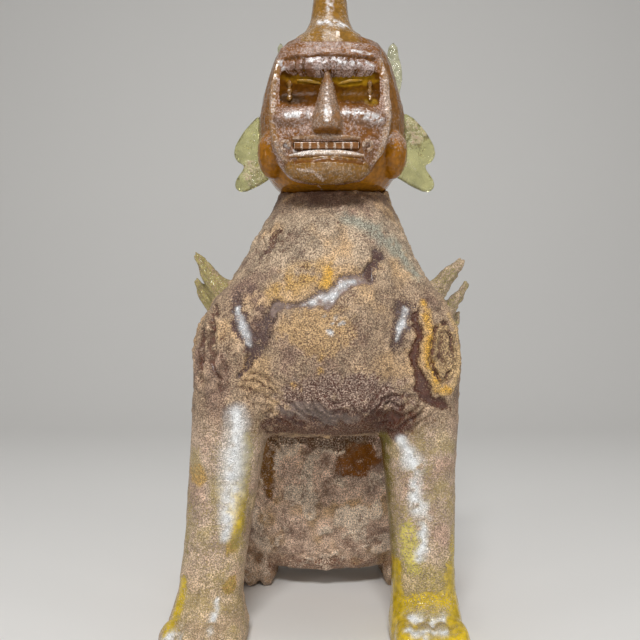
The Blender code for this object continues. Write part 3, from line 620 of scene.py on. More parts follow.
# Rings of wrinkles on the chest, and flutes along the tufts
RING_CENTRE = (-27.2, 104.0)
RING_FADE = (9.0, 4.5)
RING_PITCH = 2.8
RING_WAVER = 5
RING_HEIGHT = 0.22
RING_THINS = 0.12
FLUTE_LEAN = (0.8, 0.6)
FLUTE_PITCH = 2.3
FLUTE_HEIGHT = 0.28


# Painting

def fresh_paint(count, look):
    """Layers of paint with the same values all over."""
    paint = {}
    for name, value in look.items():
        if isinstance(value, tuple):
            paint[name] = np.tile(np.array(value, float), (count, 1))
        else:
            paint[name] = np.full(count, float(value))
    return paint


def lay(paint, mask, values):
    """Lays values over the paint where the mask is above 0."""
    for name, value in values.items():
        share = mask[:, None] if paint[name].ndim == 2 else mask
        paint[name] = paint[name] + share * (np.array(value) - paint[name])


def make_wobble(co):
    """Noise that makes the edges of marks waver, fray and break up."""
    return {
        "side": noise(co, "side"),
        "rise": noise(co, "rise"),
        "ragged": RAGGED_REACH * noise(co, "ragged"),
        "broken": fade(*GAP_FADE, noise(co, "gaps")),
    }


def lay_marks(paint, co, wobble, where, paths, patches, waver):
    """Lays the paths and patches of a table with ragged edges, and heaps up a lip beside each groove."""
    across = co[:, 0] / MM + waver * wobble["side"]
    up = co[:, 2] / MM + waver * wobble["rise"]
    ragged = wobble["ragged"]
    for patch, values in patches:
        mask = patch_mask(across, up, patch)
        lay(paint, where * fade(*PATCH_EDGE, mask + ragged * (mask > 0)), values)
    for path, values in paths:
        mask = path_mask(across, up, path, *PATH_FADE)
        if values.get("height", 0) < 0:
            lip = path_mask(across, up, path, *LIP_FADE) * (1 - mask)
            paint["height"] += LIP_HEIGHT * where * lip * (1 + ragged)
        lay(paint, where * fade(*PATH_EDGE, mask + ragged * (mask > 0)), values)


def lay_softly(paint, co, wobble, where, paths, edge=SOFT_FADE):
    """Lays paths that fade out between two shares of their half width."""
    across = co[:, 0] / MM + SOFT_WAVER * wobble["side"]
    up = co[:, 2] / MM + SOFT_WAVER * wobble["rise"]
    for path, values in paths:
        lay(paint, where * path_mask(across, up, path, *edge), values)


def lay_folds(paint, co, where):
    """Wrinkles the crust, and thins it in the bottom of each fold."""
    across, up = co[:, 0] / MM, co[:, 2] / MM
    waver = FOLD_WAVER * noise(co, "folds")
    for patch, degrees, pitch, depth in FOLDS:
        mask = where * patch_mask(across, up, patch)
        lean = math.radians(degrees)
        wave = np.sin(2 * np.pi * (across * math.cos(lean) + up * math.sin(lean) + waver) / pitch)
        paint["height"] += mask * depth * wave
        paint["crust"] -= FOLD_THINS * mask * fade(*FOLD_BOTTOM, wave)


# Paint of the body

def body_zones(co, normals, labels):
    """What each point of the body belongs to: its place, the way it faces, its zones, and shared noise."""
    def on(*endings):
        return has_name(BODY_NODES, labels, *endings)

    x, y, z = (co / MM).T
    body = SimpleNamespace(x=x, y=y, z=z, facing=-normals[:, 1], sideways=np.abs(normals[:, 0]))
    body.patchy = noise(co, "patchy")
    body.broken = noise(co, "broken")
    body.blotches = noise(co, "blotches")
    body.front = fade(*FRONT_FADE, body.facing)
    body.legs = on("front_leg", "front_paw") * fade(*LEG_TOP, z)
    body.hind = on("rump", "haunch", "hind_paw", "tail")
    body.hind_paws = on("hind_paw")
    body.tufts = on("tuft_upper", "tuft_middle", "tuft_lower")
    body.left_whorl = on("left_shoulder_whorl")
    body.right_whorl = on("right_shoulder_whorl")
    body.under = body.hind * fade(*UNDER_FADE, body.facing) * fade(*UNDER_DEPTH, y)
    return body


def lay_zones(paint, body):
    """The ground of the chest, neck, legs, rump and tufts, clouds of earth over it, and painted light and
    shade.
    """
    lay(paint, fade(*CHEST_TOP_LIGHT, body.z), {"sand": TOP_LIT_TAN})
    lay(paint, fade(*UNDER_CHIN_SHADE, body.z), NECK_SHADE_LOOK)
    lay(paint, body.legs, LEG_LOOK)
    lay(paint, body.under, UNDER_CHEST_LIGHT_LOOK)
    lay(paint, 1.0 * body.tufts, TUFT_LOOK)
    lay(paint, body.tufts * (body.x > 0), LEFT_TUFT_LOOK)
    plain = ~body.tufts * (body.legs == 0)
    lay(paint, plain * fade(*CLOUD_FADE, body.patchy), {"sand": WARM_SAND})
    mauve = MAUVE_SHARE - MAUVE_LOSS_ON_LEGS * body.legs
    lay(paint, fade(*CLOUD_FADE, -body.patchy) * mauve, {"sand": MAUVE_DUST})


def lay_legs(paint, body):
    """Caked and worn places on the front legs, and the colours of their shins."""
    legs = body.legs
    lay(paint, BLOTCH_SHARE * legs * fade(*BLOTCH_FADE, body.blotches), LEG_CAKED)
    lay(paint, BLOTCH_SHARE * legs * fade(*BLOTCH_FADE, -body.blotches), LEG_WORN)
    lay(paint, RIGHT_SHIN_SHARE * legs * (body.x < 0) * fade(*RIGHT_SHIN_TOP, body.z), RIGHT_SHIN)
    left = legs * (body.x > 0) * fade(*LEFT_SHIN_TOP, body.z + TOP_WAVER * body.patchy)
    lay(paint, LEFT_SHIN_SHARE * (left * fade(*SHIN_FADE, body.facing)), LEFT_SHIN)


def lay_hind(paint, co, body):
    """Glassy hind paws, painted lighter as painted light, and islands of thicker crust on the rump."""
    paws = body.hind_paws * fade(*HIND_PAW_TOP, body.z + TOP_WAVER * body.broken)
    lay(paint, paws, HIND_PAW_LIT_LOOK)
    share = ISLANDS_BEHIND * body.hind + ISLANDS_UNDER * body.under
    lay(paint, share * fade(*ISLAND_FADE, noise(co, "islands")), ISLAND_LOOK)


def lay_grain(paint, co, body):
    """An uneven cover and colour of the crust, and the raised whorls of the shoulders."""
    broken = body.broken
    paint["crust"] += CLOUD_COVER * body.patchy + BREAK_COVER * broken + BREAK_COVER * body.under * broken
    mottle = MOTTLE * noise(co, "mottle") + BREAK_MOTTLE * broken
    paint["sand"] = paint["sand"] * np.clip(1 + mottle, *MOTTLE_RANGE)[:, None]
    lay(paint, 1.0 * body.left_whorl, LEFT_WHORL_LOOK)
    lay(paint, 1.0 * body.right_whorl, RIGHT_WHORL_LOOK)


def bare_leg_reach(body):
    """1 where the front legs may show bare glass: in front, and further back on their inner sides."""
    outer = (body.x > LEFT_LEG_MIDDLE) | (body.x < RIGHT_LEG_MIDDLE)
    rise = fade(*BARE_SIDE_TOP, body.z + BARE_SIDE_WAVER * body.blotches)
    sides = fade(*SIDE_FADE, body.sideways) * rise
    depth = body.y - INNER_REACH * ~outer + DEPTH_WAVER * body.blotches + DEPTH_FRAY * body.broken
    return fade(*BARE_LEG_DEPTH, depth) * (body.legs > 0) * (1 - SIDE_LOSS * sides * outer)


def lay_body_marks(paint, co, body):
    """The stains, cracks, smears and folds of the body's front, painted shade low down, and painted
    highlights.
    """
    before = body.front * ~body.hind
    wobble = make_wobble(co)
    frayed = before * wobble["broken"]
    lay_softly(paint, co, wobble, frayed, CHEST_STAINS)
    lay_marks(paint, co, wobble, before, CHEST_PATHS_AND_SHADE, CHEST_PATCHES_AND_SHADE, CHEST_WAVER)
    lay_marks(paint, co, wobble, body.front * (body.legs > 0), [], LEG_PATCHES, LEG_WAVER)
    lay_softly(paint, co, wobble, bare_leg_reach(body), LEG_PATHS, LEG_FADE)
    lay_marks(paint, co, wobble, body.front * body.hind, [], RUMP_PATCHES_AND_SHADE, RUMP_WAVER)
    lay_folds(paint, co, before)
    # Painted highlights on the chest, shoulders, front legs and paws
    lay_softly(paint, co, wobble, frayed, [(path, BARE_PAINTED_HIGHLIGHT) for path in BARE_PAINTED_HIGHLIGHT_PATHS])
    lay_softly(paint, co, wobble, frayed, [(path, PAINTED_HIGHLIGHT) for path in PAINTED_HIGHLIGHT_PATHS])
    across = body.x + CLEAN_PAINTED_HIGHLIGHT_WAVER * wobble["side"]
    painted_highlight_band = path_mask(across, body.z, CLEAN_PAINTED_HIGHLIGHT_PATH, *CLEAN_PAINTED_HIGHLIGHT_FADE)
    lay(paint, before * painted_highlight_band * (1 - CLEAN_PAINTED_HIGHLIGHT_LOSS + CLEAN_PAINTED_HIGHLIGHT_LOSS * wobble["broken"]), PAINTED_HIGHLIGHT)


def lay_ripples(paint, body):
    """Rings of wrinkles at one side of the chest, and flutes along the tufts."""
    ring = np.hypot(body.x - RING_CENTRE[0], body.z - RING_CENTRE[1])
    wave = np.sin(2 * np.pi * ring / RING_PITCH + RING_WAVER * body.broken)
    ripple = wave * body.front * fade(*RING_FADE, ring)
    along = FLUTE_LEAN[0] * np.abs(body.x) - FLUTE_LEAN[1] * body.z
    flutes = body.tufts * FLUTE_HEIGHT * np.sin(2 * np.pi * along / FLUTE_PITCH)
    paint["height"] += RING_HEIGHT * ripple + flutes
    paint["crust"] -= RING_THINS * fade(*FOLD_BOTTOM, ripple)


def body_paint(co, normals, labels):
    paint = fresh_paint(len(co), BODY_LOOK)
    body = body_zones(co, normals, labels)
    lay_zones(paint, body)
    lay_legs(paint, body)
    lay_hind(paint, co, body)
    lay_grain(paint, co, body)
    lay_body_marks(paint, co, body)
    lay_ripples(paint, body)
    paint["crust"] = np.clip(paint["crust"], 0, 1)
    return paint


# Weathering: heights in millimetres, and the cover at which the crust has no thickness of its own
UNEVEN_HEIGHT = 0.5
LUMP_HEIGHT = 0.52
PIT_HEIGHT = 0.3
PLATE_HEIGHT = 0.5
PLATE_FADE = (-0.12, 0.12)
CRUST_HEIGHT = 0.6
CRUST_LEVEL = 0.7
LEG_CALM = 0.6
HEAD_LUMPINESS = 0.45


def weather(co, normals, paint, lumpiness):
    """Pushes the skin in and out: uneven glass, a crust with thickness, and worn marks."""
    uneven = UNEVEN_HEIGHT * noise(co, "uneven")
    lumps = LUMP_HEIGHT * noise(co, "lumps") + PIT_HEIGHT * noise(co, "pits")
    plates = PLATE_HEIGHT * fade(*PLATE_FADE, noise(co, "plates")) - PLATE_HEIGHT / 2
    thick = CRUST_HEIGHT * (paint["crust"] - CRUST_LEVEL)
    height = lumpiness * (uneven + paint["crust"] * (lumps + plates) + thick) + paint["height"] - SWELL / MM
    return co + normals * (height * MM)[:, None]


# Paint of the head: values for each solid, and for parts of them
HEAD_LOOKS = {
    "head": full_look((0.27, 0.158, 0.09), (0.20, 0.08, 0.010), 0.35, 0.12, gloss=0.8),
    "face_plate": full_look((0.43, 0.295, 0.24), (0.20, 0.075, 0.014), 0.47, 0.10),
    "horn": full_look((0.36, 0.25, 0.15), (0.28, 0.135, 0.016), 0.34, 0.10, clear=0.15),
    "brow_ridge": full_look((0.44, 0.34, 0.31), (0.20, 0.10, 0.06), 0.48, 0.08),
    "nose": full_look((0.29, 0.20, 0.145), (0.23, 0.11, 0.04), 0.50, 0.10),
    "cheekbone": full_look((0.40, 0.285, 0.24), (0.20, 0.09, 0.035), 0.44, 0.08),
    "chin": full_look((0.31, 0.20, 0.11), (0.25, 0.115, 0.014), 0.34, 0.10, clear=0.1),
    "cheek": full_look((0.30, 0.17, 0.07), (0.33, 0.125, 0.004), 0.06, 0.10, clear=0.2, gloss=0.6),
    "left_face_rim": full_look((0.45, 0.335, 0.26), (0.28, 0.15, 0.055), 0.58, 0.10),
    "right_face_rim": full_look((0.37, 0.26, 0.19), (0.26, 0.13, 0.04), 0.50, 0.10),
}
BORDER_ROUNDS = 4
CHEEK_TOP = (197, 207)
CHEEK_TOP_LOOK = {"sand": DUST, "crust": 0.50}
HOOD_FOOT = (208, 196)
HOOD_FOOT_LOOK = {"glass": (0.32, 0.125, 0.005), "crust": 0.14, "gloss": 0.6}
HOOD_TOP = (232, 244)
HOOD_TOP_LOOK = {"sand": (0.285, 0.185, 0.14), "crust": 0.46, "gloss": 0.8}
FOREHEAD = (231, 234)
FOREHEAD_LOOK = {"sand": (0.31, 0.205, 0.16), "gloss": 0.7}
FILM_BREAK_COVER = 0.22
FILM_CLOUD_COVER = 0.16

# Marks on the face, and painted highlights: a pale sheen on its ledges, nose, brow, forehead and horn and
# at a lip corner
FACE_PATHS = [
    (
        [(-17, 233.4, 0.7), (0, 234.2, 0.8), (18, 233.4, 0.7)],
        {"crust": 0.2, "glass": DEEP_AMBER, "height": -0.6},
    ),
    (
        [(-13, 192.7, 0.8), (0, 193, 1.0), (14, 192.7, 0.8)],
        {"crust": 0.15, "glass": (0.19, 0.07, 0.012), "height": -0.3},
    ),
    ([(-12, 189.5, 0.5), (-6, 188, 0.6), (-2, 185.5, 0.5)], {"crust": 0.7, "sand": (0.48, 0.36, 0.28)}),
]
FACE_WAVER = 0.25
FACE_PAINTED_HIGHLIGHT = {"sand": (0.92, 0.92, 0.93), "glass": (0.62, 0.60, 0.60), "rough": 0.08}
FACE_PAINTED_HIGHLIGHT_SHARE = 0.85
FACE_PAINTED_HIGHLIGHT_FADE = (0.2, 1.5)
FACE_PAINTED_HIGHLIGHT_GAPS = (-0.4, 0.25)
FACE_PAINTED_HIGHLIGHT_PATHS = [
    [(6, 210.6, 1.0), (12, 210.0, 2.2), (20, 208.6, 1.8)],
    [(-16, 209.6, 1.4), (-8, 210.0, 1.8)],
    [(-1, 211, 0.6), (-0.4, 208.5, 1.0), (-0.8, 206.5, 0.8)],
    [(-8, 231.2, 0.8), (-1, 231.4, 1.4), (11.5, 230.6, 1.8)],
    [(-18.6, 233, 1.0), (-17.6, 229, 1.0)],
    [(13.5, 232.6, 0.8), (17.6, 230.4, 0.8)],
    [(10, 237, 0.8), (18, 235.6, 0.8)],
    [(-3.4, 255, 1.2), (2, 254.6, 2.2), (8, 253.4, 1.4)],
    [(1.2, 290, 1.4), (1.2, 262, 1.6)],
    [(-17, 199.5, 0.8), (-12.8, 197, 0.9)],
]
# The eye hollow: its reach across, the heights between which its foot fades into the cheekbones, and those
# between which its floor is smoothed
EYE_WEST, EYE_EAST, EYE_TOP = -18.8, 20.6, 228.2
EYE_FOOT = (212.6, 217.4)
EYE_FOOT_WAVER = 0.8
EYE_FLOOR = (208, 225.5)
EYE_FLOOR_MARGIN = 1
EYE_LOOK = glassy((0.085, 0.029, 0.002), 0.0, 0.2, clear=0.0, gloss=0.02)
# Painted glow of light inside the hollow's glass: gold under the brow and at its eastern foot, darker amber
# lower down, and dark dirt at its western foot
EYE_GLOW_AND_DIRT = [
    ((-8, 225.6, 10, 2.0), {"glass": (0.22, 0.105, 0.006)}),
    ((10, 225.4, 10, 2.4), {"glass": (0.27, 0.14, 0.006)}),
    ((11, 219.5, 8, 3.4), {"glass": (0.12, 0.048, 0.003)}),
    ((-14, 217.5, 6, 2.6), {"glass": (0.05, 0.022, 0.006)}),
    ((17, 216.5, 3.0, 1.8), {"glass": (0.26, 0.14, 0.010)}),
]
EYE_GLOW_AND_DIRT_WAVER = 0.6
# The nose's underside, the bare place below it, and the nicks of the brow
NOSE_UNDER_FADE = (0.3, 0.7)
NOSE_UNDER_LOOK = {"crust": 0.15, "glass": (0.19, 0.075, 0.012)}
BARE_LIP_HALF = 6
BARE_LIP_FOOT, BARE_LIP_TOP = 201.5, 205.0
BARE_LIP_LOOK = {"crust": 0.2, "glass": (0.2, 0.08, 0.015)}
BARE_LIP_SHARE = 0.7
BROW_NICKS = (-12.9, -9.5, -1.9, 1.0, 3.4, 5.7, 8.1, 11.0)
BROW_NICK_FADE = (0.2, 0.7)
BROW_NICK_LOOK = {"height": -0.5, "glass": DEEP_AMBER}


def softened(paint, edges, rounds):
    """The paint with its borders between the solids blurred."""
    soft = {}
    for name, layer in paint.items():
        columns = layer.reshape(len(layer), -1)
        for _ in range(rounds):
            columns = 0.5 * columns + 0.5 * neighbour_mean(columns, edges)
        soft[name] = columns.reshape(layer.shape)
    return soft


def lay_face(paint, co, normals, on, breaks):
    """Eye hollow with painted glow, face marks and painted highlights, nose and brow. On finds solids by
    name.
    """
    x, z = co[:, 0] / MM, co[:, 2] / MM
    front = fade(*FRONT_FADE, -normals[:, 1])
    wobble = make_wobble(co)
    inside = on("face_plate", "cheekbone") * (x > EYE_WEST) * (x < EYE_EAST) * (z < EYE_TOP)
    hollow = inside * fade(*EYE_FOOT, z + EYE_FOOT_WAVER * breaks)
    lay(paint, hollow, EYE_LOOK)
    lay_marks(paint, co, wobble, hollow, [], EYE_GLOW_AND_DIRT, EYE_GLOW_AND_DIRT_WAVER)
    lay_marks(paint, co, wobble, front, FACE_PATHS, [], FACE_WAVER)
    # Painted highlights on the face, frayed by noise
    frayed = front * fade(*FACE_PAINTED_HIGHLIGHT_GAPS, noise(co, "film_frays"))
    for path in FACE_PAINTED_HIGHLIGHT_PATHS:
        lay(paint, FACE_PAINTED_HIGHLIGHT_SHARE * frayed * path_mask(x, z, path, *FACE_PAINTED_HIGHLIGHT_FADE), FACE_PAINTED_HIGHLIGHT)
    lay(paint, on("nose") * fade(*NOSE_UNDER_FADE, -normals[:, 2]), NOSE_UNDER_LOOK)
    lip = on("face_plate") * front * (np.abs(x) < BARE_LIP_HALF) * (z > BARE_LIP_FOOT) * (z < BARE_LIP_TOP)
    lay(paint, BARE_LIP_SHARE * lip, BARE_LIP_LOOK)
    brow = on("brow_ridge") * front
    for nick in BROW_NICKS:
        lay(paint, brow * (1 - fade(*BROW_NICK_FADE, np.abs(x - nick))), BROW_NICK_LOOK)


def head_paint(co, normals, labels, edges):
    def on(*endings):
        return has_name(HEAD_NODES, labels, *endings)

    z = co[:, 2] / MM
    breaks = noise(co, "film_breaks")
    paint = fresh_paint(len(co), HEAD_LOOKS["head"])
    for ending, values in HEAD_LOOKS.items():
        lay(paint, 1.0 * on(ending), values)
    paint = softened(paint, edges, BORDER_ROUNDS)
    lay(paint, on("_cheek") * fade(*CHEEK_TOP, z), CHEEK_TOP_LOOK)
    lay(paint, on("head") * fade(*HOOD_FOOT, z), HOOD_FOOT_LOOK)
    lay(paint, on("head") * fade(*HOOD_TOP, z), HOOD_TOP_LOOK)
    lay(paint, on("face_plate") * fade(*FOREHEAD, z), FOREHEAD_LOOK)
    paint["crust"] += FILM_BREAK_COVER * breaks + FILM_CLOUD_COVER * noise(co, "film_clouds")
    lay_face(paint, co, normals, on, breaks)
    paint["crust"] = np.clip(paint["crust"], 0, 1)
    return paint


# Paint of the fine pieces: values for each kind, and for parts of them
FINE_LOOKS = {
    "teeth": full_look((0.50, 0.385, 0.30), (0.22, 0.09, 0.025), 0.1, 0.1),
    "upper_lip": full_look((0.44, 0.32, 0.24), (0.26, 0.13, 0.05), 0.46, 0.1),
    # The lower lip: pale crust, partly a painted highlight
    "lower_lip": full_look((0.84, 0.76, 0.70), (0.55, 0.41, 0.30), 0.55, 0.08),
    "lip_curl": full_look((0.50, 0.38, 0.30), (0.28, 0.14, 0.055), 0.46, 0.08),
    "eyelid": full_look(DUST, (0.30, 0.16, 0.012), 0.05, 0.1, gloss=0.5),
    "eye_beads": full_look(DUST, (0.20, 0.09, 0.012), 0.15, 0.06),
    "ear": full_look((0.45, 0.33, 0.22), PALE_GLASS, 0.12, 0.06, clear=1.0),
    "ear_leaf": full_look((0.55, 0.48, 0.33), LEAF_GLASS, 0.16, 0.08, clear=1.0),
}
TEETH_WEST = -13.3
TEETH_PITCH = 3.2
TOOTH_GAP = (0.25, 0.6)
TOOTH_GAP_LOOK = {"crust": 0.85}
# The lower half of the lower lip painted darker: painted shade under the painted highlight on its top
LIP_FOOT = (195.6, 194.6)
LIP_FOOT_SHADE = {"crust": 0.15, "glass": (0.24, 0.11, 0.03)}
EAR_DUST = [(-32, 196, 8, 7), (38, 214, 8, 8), (31, 204, 4, 8)]
EAR_DUST_LOOK = {"crust": 0.46}
EAR_WAVER = 1.5
FINE_COVER = 0.15


def fine_paint(node, co):
    kind = node.removeprefix("left_").removeprefix("right_")
    paint = fresh_paint(len(co), FINE_LOOKS[kind])
    if kind == "teeth":
        pitch = (co[:, 0] / MM - TEETH_WEST) / TEETH_PITCH
        gap = np.abs(pitch - np.round(pitch)) * TEETH_PITCH
        lay(paint, 1 - fade(*TOOTH_GAP, gap), TOOTH_GAP_LOOK)
        return paint
    if kind == "lower_lip":
        lay(paint, fade(*LIP_FOOT, co[:, 2] / MM), LIP_FOOT_SHADE)
    if kind == "ear":
        dust = [(patch, EAR_DUST_LOOK) for patch in EAR_DUST]
        lay_marks(paint, co, make_wobble(co), np.ones(len(co)), [], dust, EAR_WAVER)
    paint["crust"] = np.clip(paint["crust"] + FINE_COVER * noise(co, "fine"), 0, 1)
    return paint


# Materials: grain, speck and peel are in cells to the metre, and bump is in millimetres. Spread and soft
# say how the grains part and fade, shade how much they vary, matt is their roughness, clarity the most
# light that passes, and ripple the share of the bump that bare glass has.
CRUSTED_LOOK = {
    "grain": 1600.0, "detail": 3.0, "speck": 2000.0, "peel": 420.0, "spread": 0.42, "soft": 0.13,
    "shade": 0.50, "matt": 0.65, "clarity": 0.6, "bump": 0.45, "ripple": 0.4,
}
DUSTED_LOOK = {
    "grain": 1100.0, "detail": 5.0, "speck": 1900.0, "peel": 620.0, "spread": 0.60, "soft": 0.15,
    "shade": 0.55, "matt": 0.2, "clarity": 0.6, "bump": 0.085, "ripple": 2.2,
}
PALE_LOOK = {
    "grain": 700.0, "detail": 8.0, "speck": 2600.0, "peel": 160.0, "spread": 0.7, "soft": 0.20,
    "shade": 0.72, "matt": 0.5, "clarity": 0.95, "bump": 0.5, "ripple": 0.6,
}
SPECK_DETAIL = 1.0
PEEL_DETAIL = 2.0
SPECK_RANGE = (0.34, 0.68)
PEEL_RANGE = (0.30, 0.70)
PEEL_TINT = (0.75, 1.2)
COVER_RELIEF = 0.6
GRAIN_RELIEF = 0.8
BUMP_STRENGTH = 0.9
GLASS_IOR = 1.5


def make_material(name, look):
    """Grains of sand over tinted glass. The paint says how dense they are, and which colours show."""
    material = bpy.data.materials.new(name)
    material.use_nodes = True
    tree = material.node_tree
    shader = tree.nodes["Principled BSDF"]
    place = tree.nodes.new("ShaderNodeTexCoord").outputs["Object"]

    def texture(scale, detail):
        node = tree.nodes.new("ShaderNodeTexNoise")
        node.inputs["Scale"].default_value = scale
        node.inputs["Detail"].default_value = detail
        tree.links.new(place, node.inputs["Vector"])
        return node.outputs["Fac"]

    def layer(attribute, output):
        node = tree.nodes.new("ShaderNodeAttribute")
        node.attribute_name = attribute
        return node.outputs[output]

    def plug(value, socket):
        if isinstance(value, bpy.types.NodeSocket):
            tree.links.new(value, socket)
        else:
            socket.default_value = value

    def calc(operation, a, b):
        node = tree.nodes.new("ShaderNodeMath")
        node.operation = operation
        plug(a, node.inputs[0])
        plug(b, node.inputs[1])
        return node.outputs[0]

    def step(value, low, high, out_low=0.0, out_high=1.0):
        node = tree.nodes.new("ShaderNodeMapRange")
        node.interpolation_type = "SMOOTHSTEP"
        for number, entry in enumerate((value, low, high, out_low, out_high)):
            plug(entry, node.inputs[number])
        return node.outputs[0]

    def mix(kind, share, a, b):
        node = tree.nodes.new("ShaderNodeMix")
        node.data_type = "RGBA"
        node.blend_type = kind
        plug(share, node.inputs[0])
        tree.links.new(a, node.inputs[6])
        tree.links.new(b, node.inputs[7])
        return node.outputs[2]

    grain = texture(look["grain"], look["detail"])
    speck = texture(look["speck"], SPECK_DETAIL)
    peel = texture(look["peel"], PEEL_DETAIL)
    crust = layer("crust", "Fac")
    level = calc("MULTIPLY", calc("SUBTRACT", crust, 0.5), look["spread"])
    level = calc("ADD", level, calc("SUBTRACT", grain, 0.5))
    cover = step(level, -look["soft"], look["soft"])
    shading = step(speck, *SPECK_RANGE, look["shade"], 2.0 - look["shade"])
    sand = mix("MULTIPLY", 1.0, layer("sand", "Color"), shading)
    glass = mix("MULTIPLY", 1.0, layer("glass", "Color"), step(peel, *PEEL_RANGE, *PEEL_TINT))
    plug(mix("MIX", cover, glass, sand), shader.inputs["Base Color"])
    plug(step(cover, 0.0, 1.0, layer("rough", "Fac"), look["matt"]), shader.inputs["Roughness"])
    seen = calc("MULTIPLY", layer("clear", "Fac"), calc("SUBTRACT", 1.0, cover))
    plug(calc("MULTIPLY", seen, look["clarity"]), shader.inputs["Transmission Weight"])
    tree.links.new(layer("gloss", "Fac"), shader.inputs["Specular Tint"])
    shader.inputs["IOR"].default_value = GLASS_IOR

    grains = calc("MULTIPLY", calc("MULTIPLY", grain, crust), GRAIN_RELIEF)
    relief = calc("ADD", calc("MULTIPLY", cover, COVER_RELIEF), grains)
    relief = calc("ADD", relief, calc("MULTIPLY", peel, look["ripple"]))
    bump = tree.nodes.new("ShaderNodeBump")
    bump.inputs["Strength"].default_value = BUMP_STRENGTH
    bump.inputs["Distance"].default_value = look["bump"] * MM
    tree.links.new(relief, bump.inputs["Height"])
    tree.links.new(bump.outputs["Normal"], shader.inputs["Normal"])
    return material


# Pieces

def make_body(material):
    co, quads = melt_together(BODY_NODES, BODY_VOXEL, SWELL)
    edges = skin_edges(quads)
    labels = nearest_nodes(BODY_NODES, co)
    crisp = has_name(BODY_NODES, labels, "shoulder_whorl", "hind_paw", "front_paw", "tail")
    co = relaxed(co, edges, BODY_MELT, np.where(crisp, CRISP_SHARE, 1.0))
    normals = point_normals(co, quads)
    paint = body_paint(co, normals, labels)
    legs = has_name(BODY_NODES, labels, "front_leg", "front_paw") * fade(*LEG_CALM_TOP, co[:, 2] / MM)
    co = weather(co, normals, paint, 1.0 - LEG_CALM * legs)
    co[:, 2] = np.maximum(co[:, 2], 0.0)
    add_pieces(BODY_NODES, co, quads, labels, paint, material)


def make_head(material):
    co, quads = melt_together(HEAD_NODES, HEAD_VOXEL, SWELL)
    edges = skin_edges(quads)
    labels = nearest_nodes(HEAD_NODES, co)
    co = relaxed(co, edges, HEAD_MELT, np.ones(len(co)))
    x, z = co[:, 0] / MM, co[:, 2] / MM
    across = (x > EYE_WEST + EYE_FLOOR_MARGIN) * (x < EYE_EAST - EYE_FLOOR_MARGIN)
    floor = has_name(HEAD_NODES, labels, "face_plate", "cheekbone") * across
    co = relaxed(co, edges, EYE_MELT, floor * (z > EYE_FLOOR[0]) * (z < EYE_FLOOR[1]))
    normals = point_normals(co, quads)
    paint = head_paint(co, normals, labels, edges)
    co = weather(co, normals, paint, HEAD_LUMPINESS)
    add_pieces(HEAD_NODES, co, quads, labels, paint, material, HEAD_CORE)


def make_fine_pieces(material, ear_material):
    for number, node in enumerate(FINE_NODES):
        is_ear = "_ear" in node
        co, quads = melt_together([node], EAR_VOXEL if is_ear else FINE_VOXEL, FINE_SWELL)
        co = relaxed(co, skin_edges(quads), EAR_MELT if is_ear else FINE_MELT, np.ones(len(co)))
        normals = point_normals(co, quads)
        piece = cut_piece(co, quads, normals, fine_paint(node, co), number)
        add_piece(node, *piece, ear_material if is_ear else material)


# Stage, light and camera, in metres and watts
FLOOR_FRONT, FLOOR_BACK = -1.6, 0.5
FLOOR_HALF = 1.8
SWEEP = 0.4
SWEEP_STEPS = 8
BACKDROP_TOP = 1.8
PAPER = (0.80, 0.79, 0.77, 1)
PAPER_ROUGHNESS = 0.9
SKY = (1.0, 0.985, 0.96, 1)
SKY_STRENGTH = 0.24
MIDDLE = (0, 0, 0.14)
# Each lamp: its place, what it points at, its size and its power
LAMPS = {
    "key": ((-0.05, -0.70, 0.82), MIDDLE, (0.30, 0.16), 6.0),
    "overhead": ((0.0, -0.16, 0.95), (0, -0.03, 0.2), (0.14, 0.14), 1.0),
    "right_fill": ((0.86, -0.45, 0.31), MIDDLE, (0.2, 0.36), 0.9),
    "left_fill": ((-0.86, -0.45, 0.31), MIDDLE, (0.2, 0.36), 0.9),
    "low_fill": ((0.0, -1.0, 0.10), MIDDLE, (0.6, 0.3), 1.0),
}


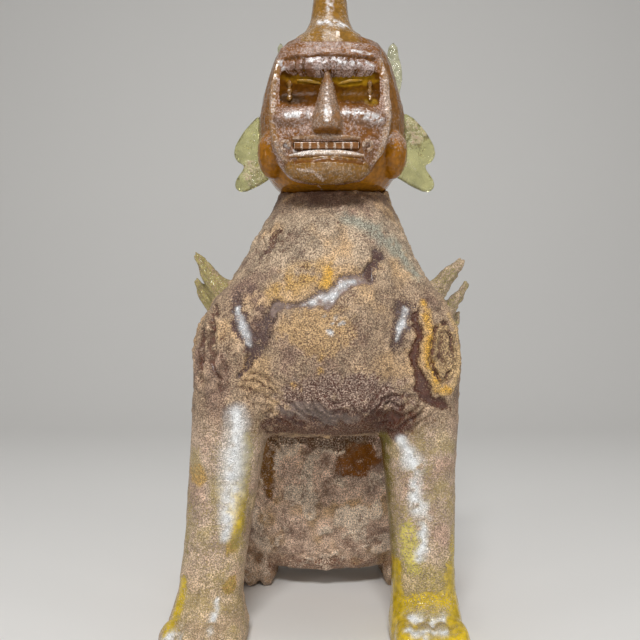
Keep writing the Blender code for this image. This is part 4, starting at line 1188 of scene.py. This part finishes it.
def make_stage():
    """A pale floor that sweeps up into a backdrop behind the figure."""
    profile = [(FLOOR_FRONT, 0.0), (FLOOR_BACK, 0.0)]
    for number in range(1, SWEEP_STEPS + 1):
        angle = math.pi / 2 * number / SWEEP_STEPS
        profile.append((FLOOR_BACK + SWEEP * math.sin(angle), SWEEP - SWEEP * math.cos(angle)))
    profile.append((FLOOR_BACK + SWEEP, BACKDROP_TOP))
    shape = bmesh.new()
    rows = [[shape.verts.new((x, y, z)) for y, z in profile] for x in (-FLOOR_HALF, FLOOR_HALF)]
    for i in range(len(profile) - 1):
        shape.faces.new((rows[0][i], rows[1][i], rows[1][i + 1], rows[0][i + 1]))
    mesh = bpy.data.meshes.new("floor")
    shape.to_mesh(mesh)
    shape.free()
    mesh.shade_smooth()
    floor = add_object("floor", mesh)
    material = bpy.data.materials.new("pale_paper")
    material.use_nodes = True
    shader = material.node_tree.nodes["Principled BSDF"]
    shader.inputs["Base Color"].default_value = PAPER
    shader.inputs["Roughness"].default_value = PAPER_ROUGHNESS
    mesh.materials.append(material)


def add_lamp(name, place, target, size, power):
    light = bpy.data.lights.new(name, "AREA")
    light.shape = "RECTANGLE"
    light.size, light.size_y = size
    light.energy = power
    lamp = add_object(name, light)
    lamp.location = place
    lamp.rotation_euler = (Vector(target) - Vector(place)).to_track_quat("-Z", "Y").to_euler()


def make_light():
    world = bpy.data.worlds.new("studio")
    bpy.context.scene.world = world
    world.use_nodes = True
    background = world.node_tree.nodes["Background"]
    background.inputs["Color"].default_value = SKY
    background.inputs["Strength"].default_value = SKY_STRENGTH
    for name, lamp in LAMPS.items():
        add_lamp(name, *lamp)


def make_camera():
    data = bpy.data.cameras.new("camera")
    data.sensor_width = SENSOR
    data.lens = data.sensor_width * FOCAL_PIXELS / FRAME_PIXELS
    data.shift_y = RISE_PIXELS / FRAME_PIXELS
    camera = add_object("camera", data)
    camera.location = CAMERA_PLACE
    camera.rotation_euler = (math.pi / 2, 0, 0)
    bpy.context.scene.camera = camera


def main():
    bpy.context.scene.view_settings.view_transform = "Standard"
    crusted = make_material("crusted_amber_glass", CRUSTED_LOOK)
    dusted = make_material("dusted_amber_glass", DUSTED_LOOK)
    pale = make_material("pale_glass", PALE_LOOK)
    make_body(crusted)
    make_head(dusted)
    make_fine_pieces(dusted, pale)
    make_stage()
    make_light()
    make_camera()


main()
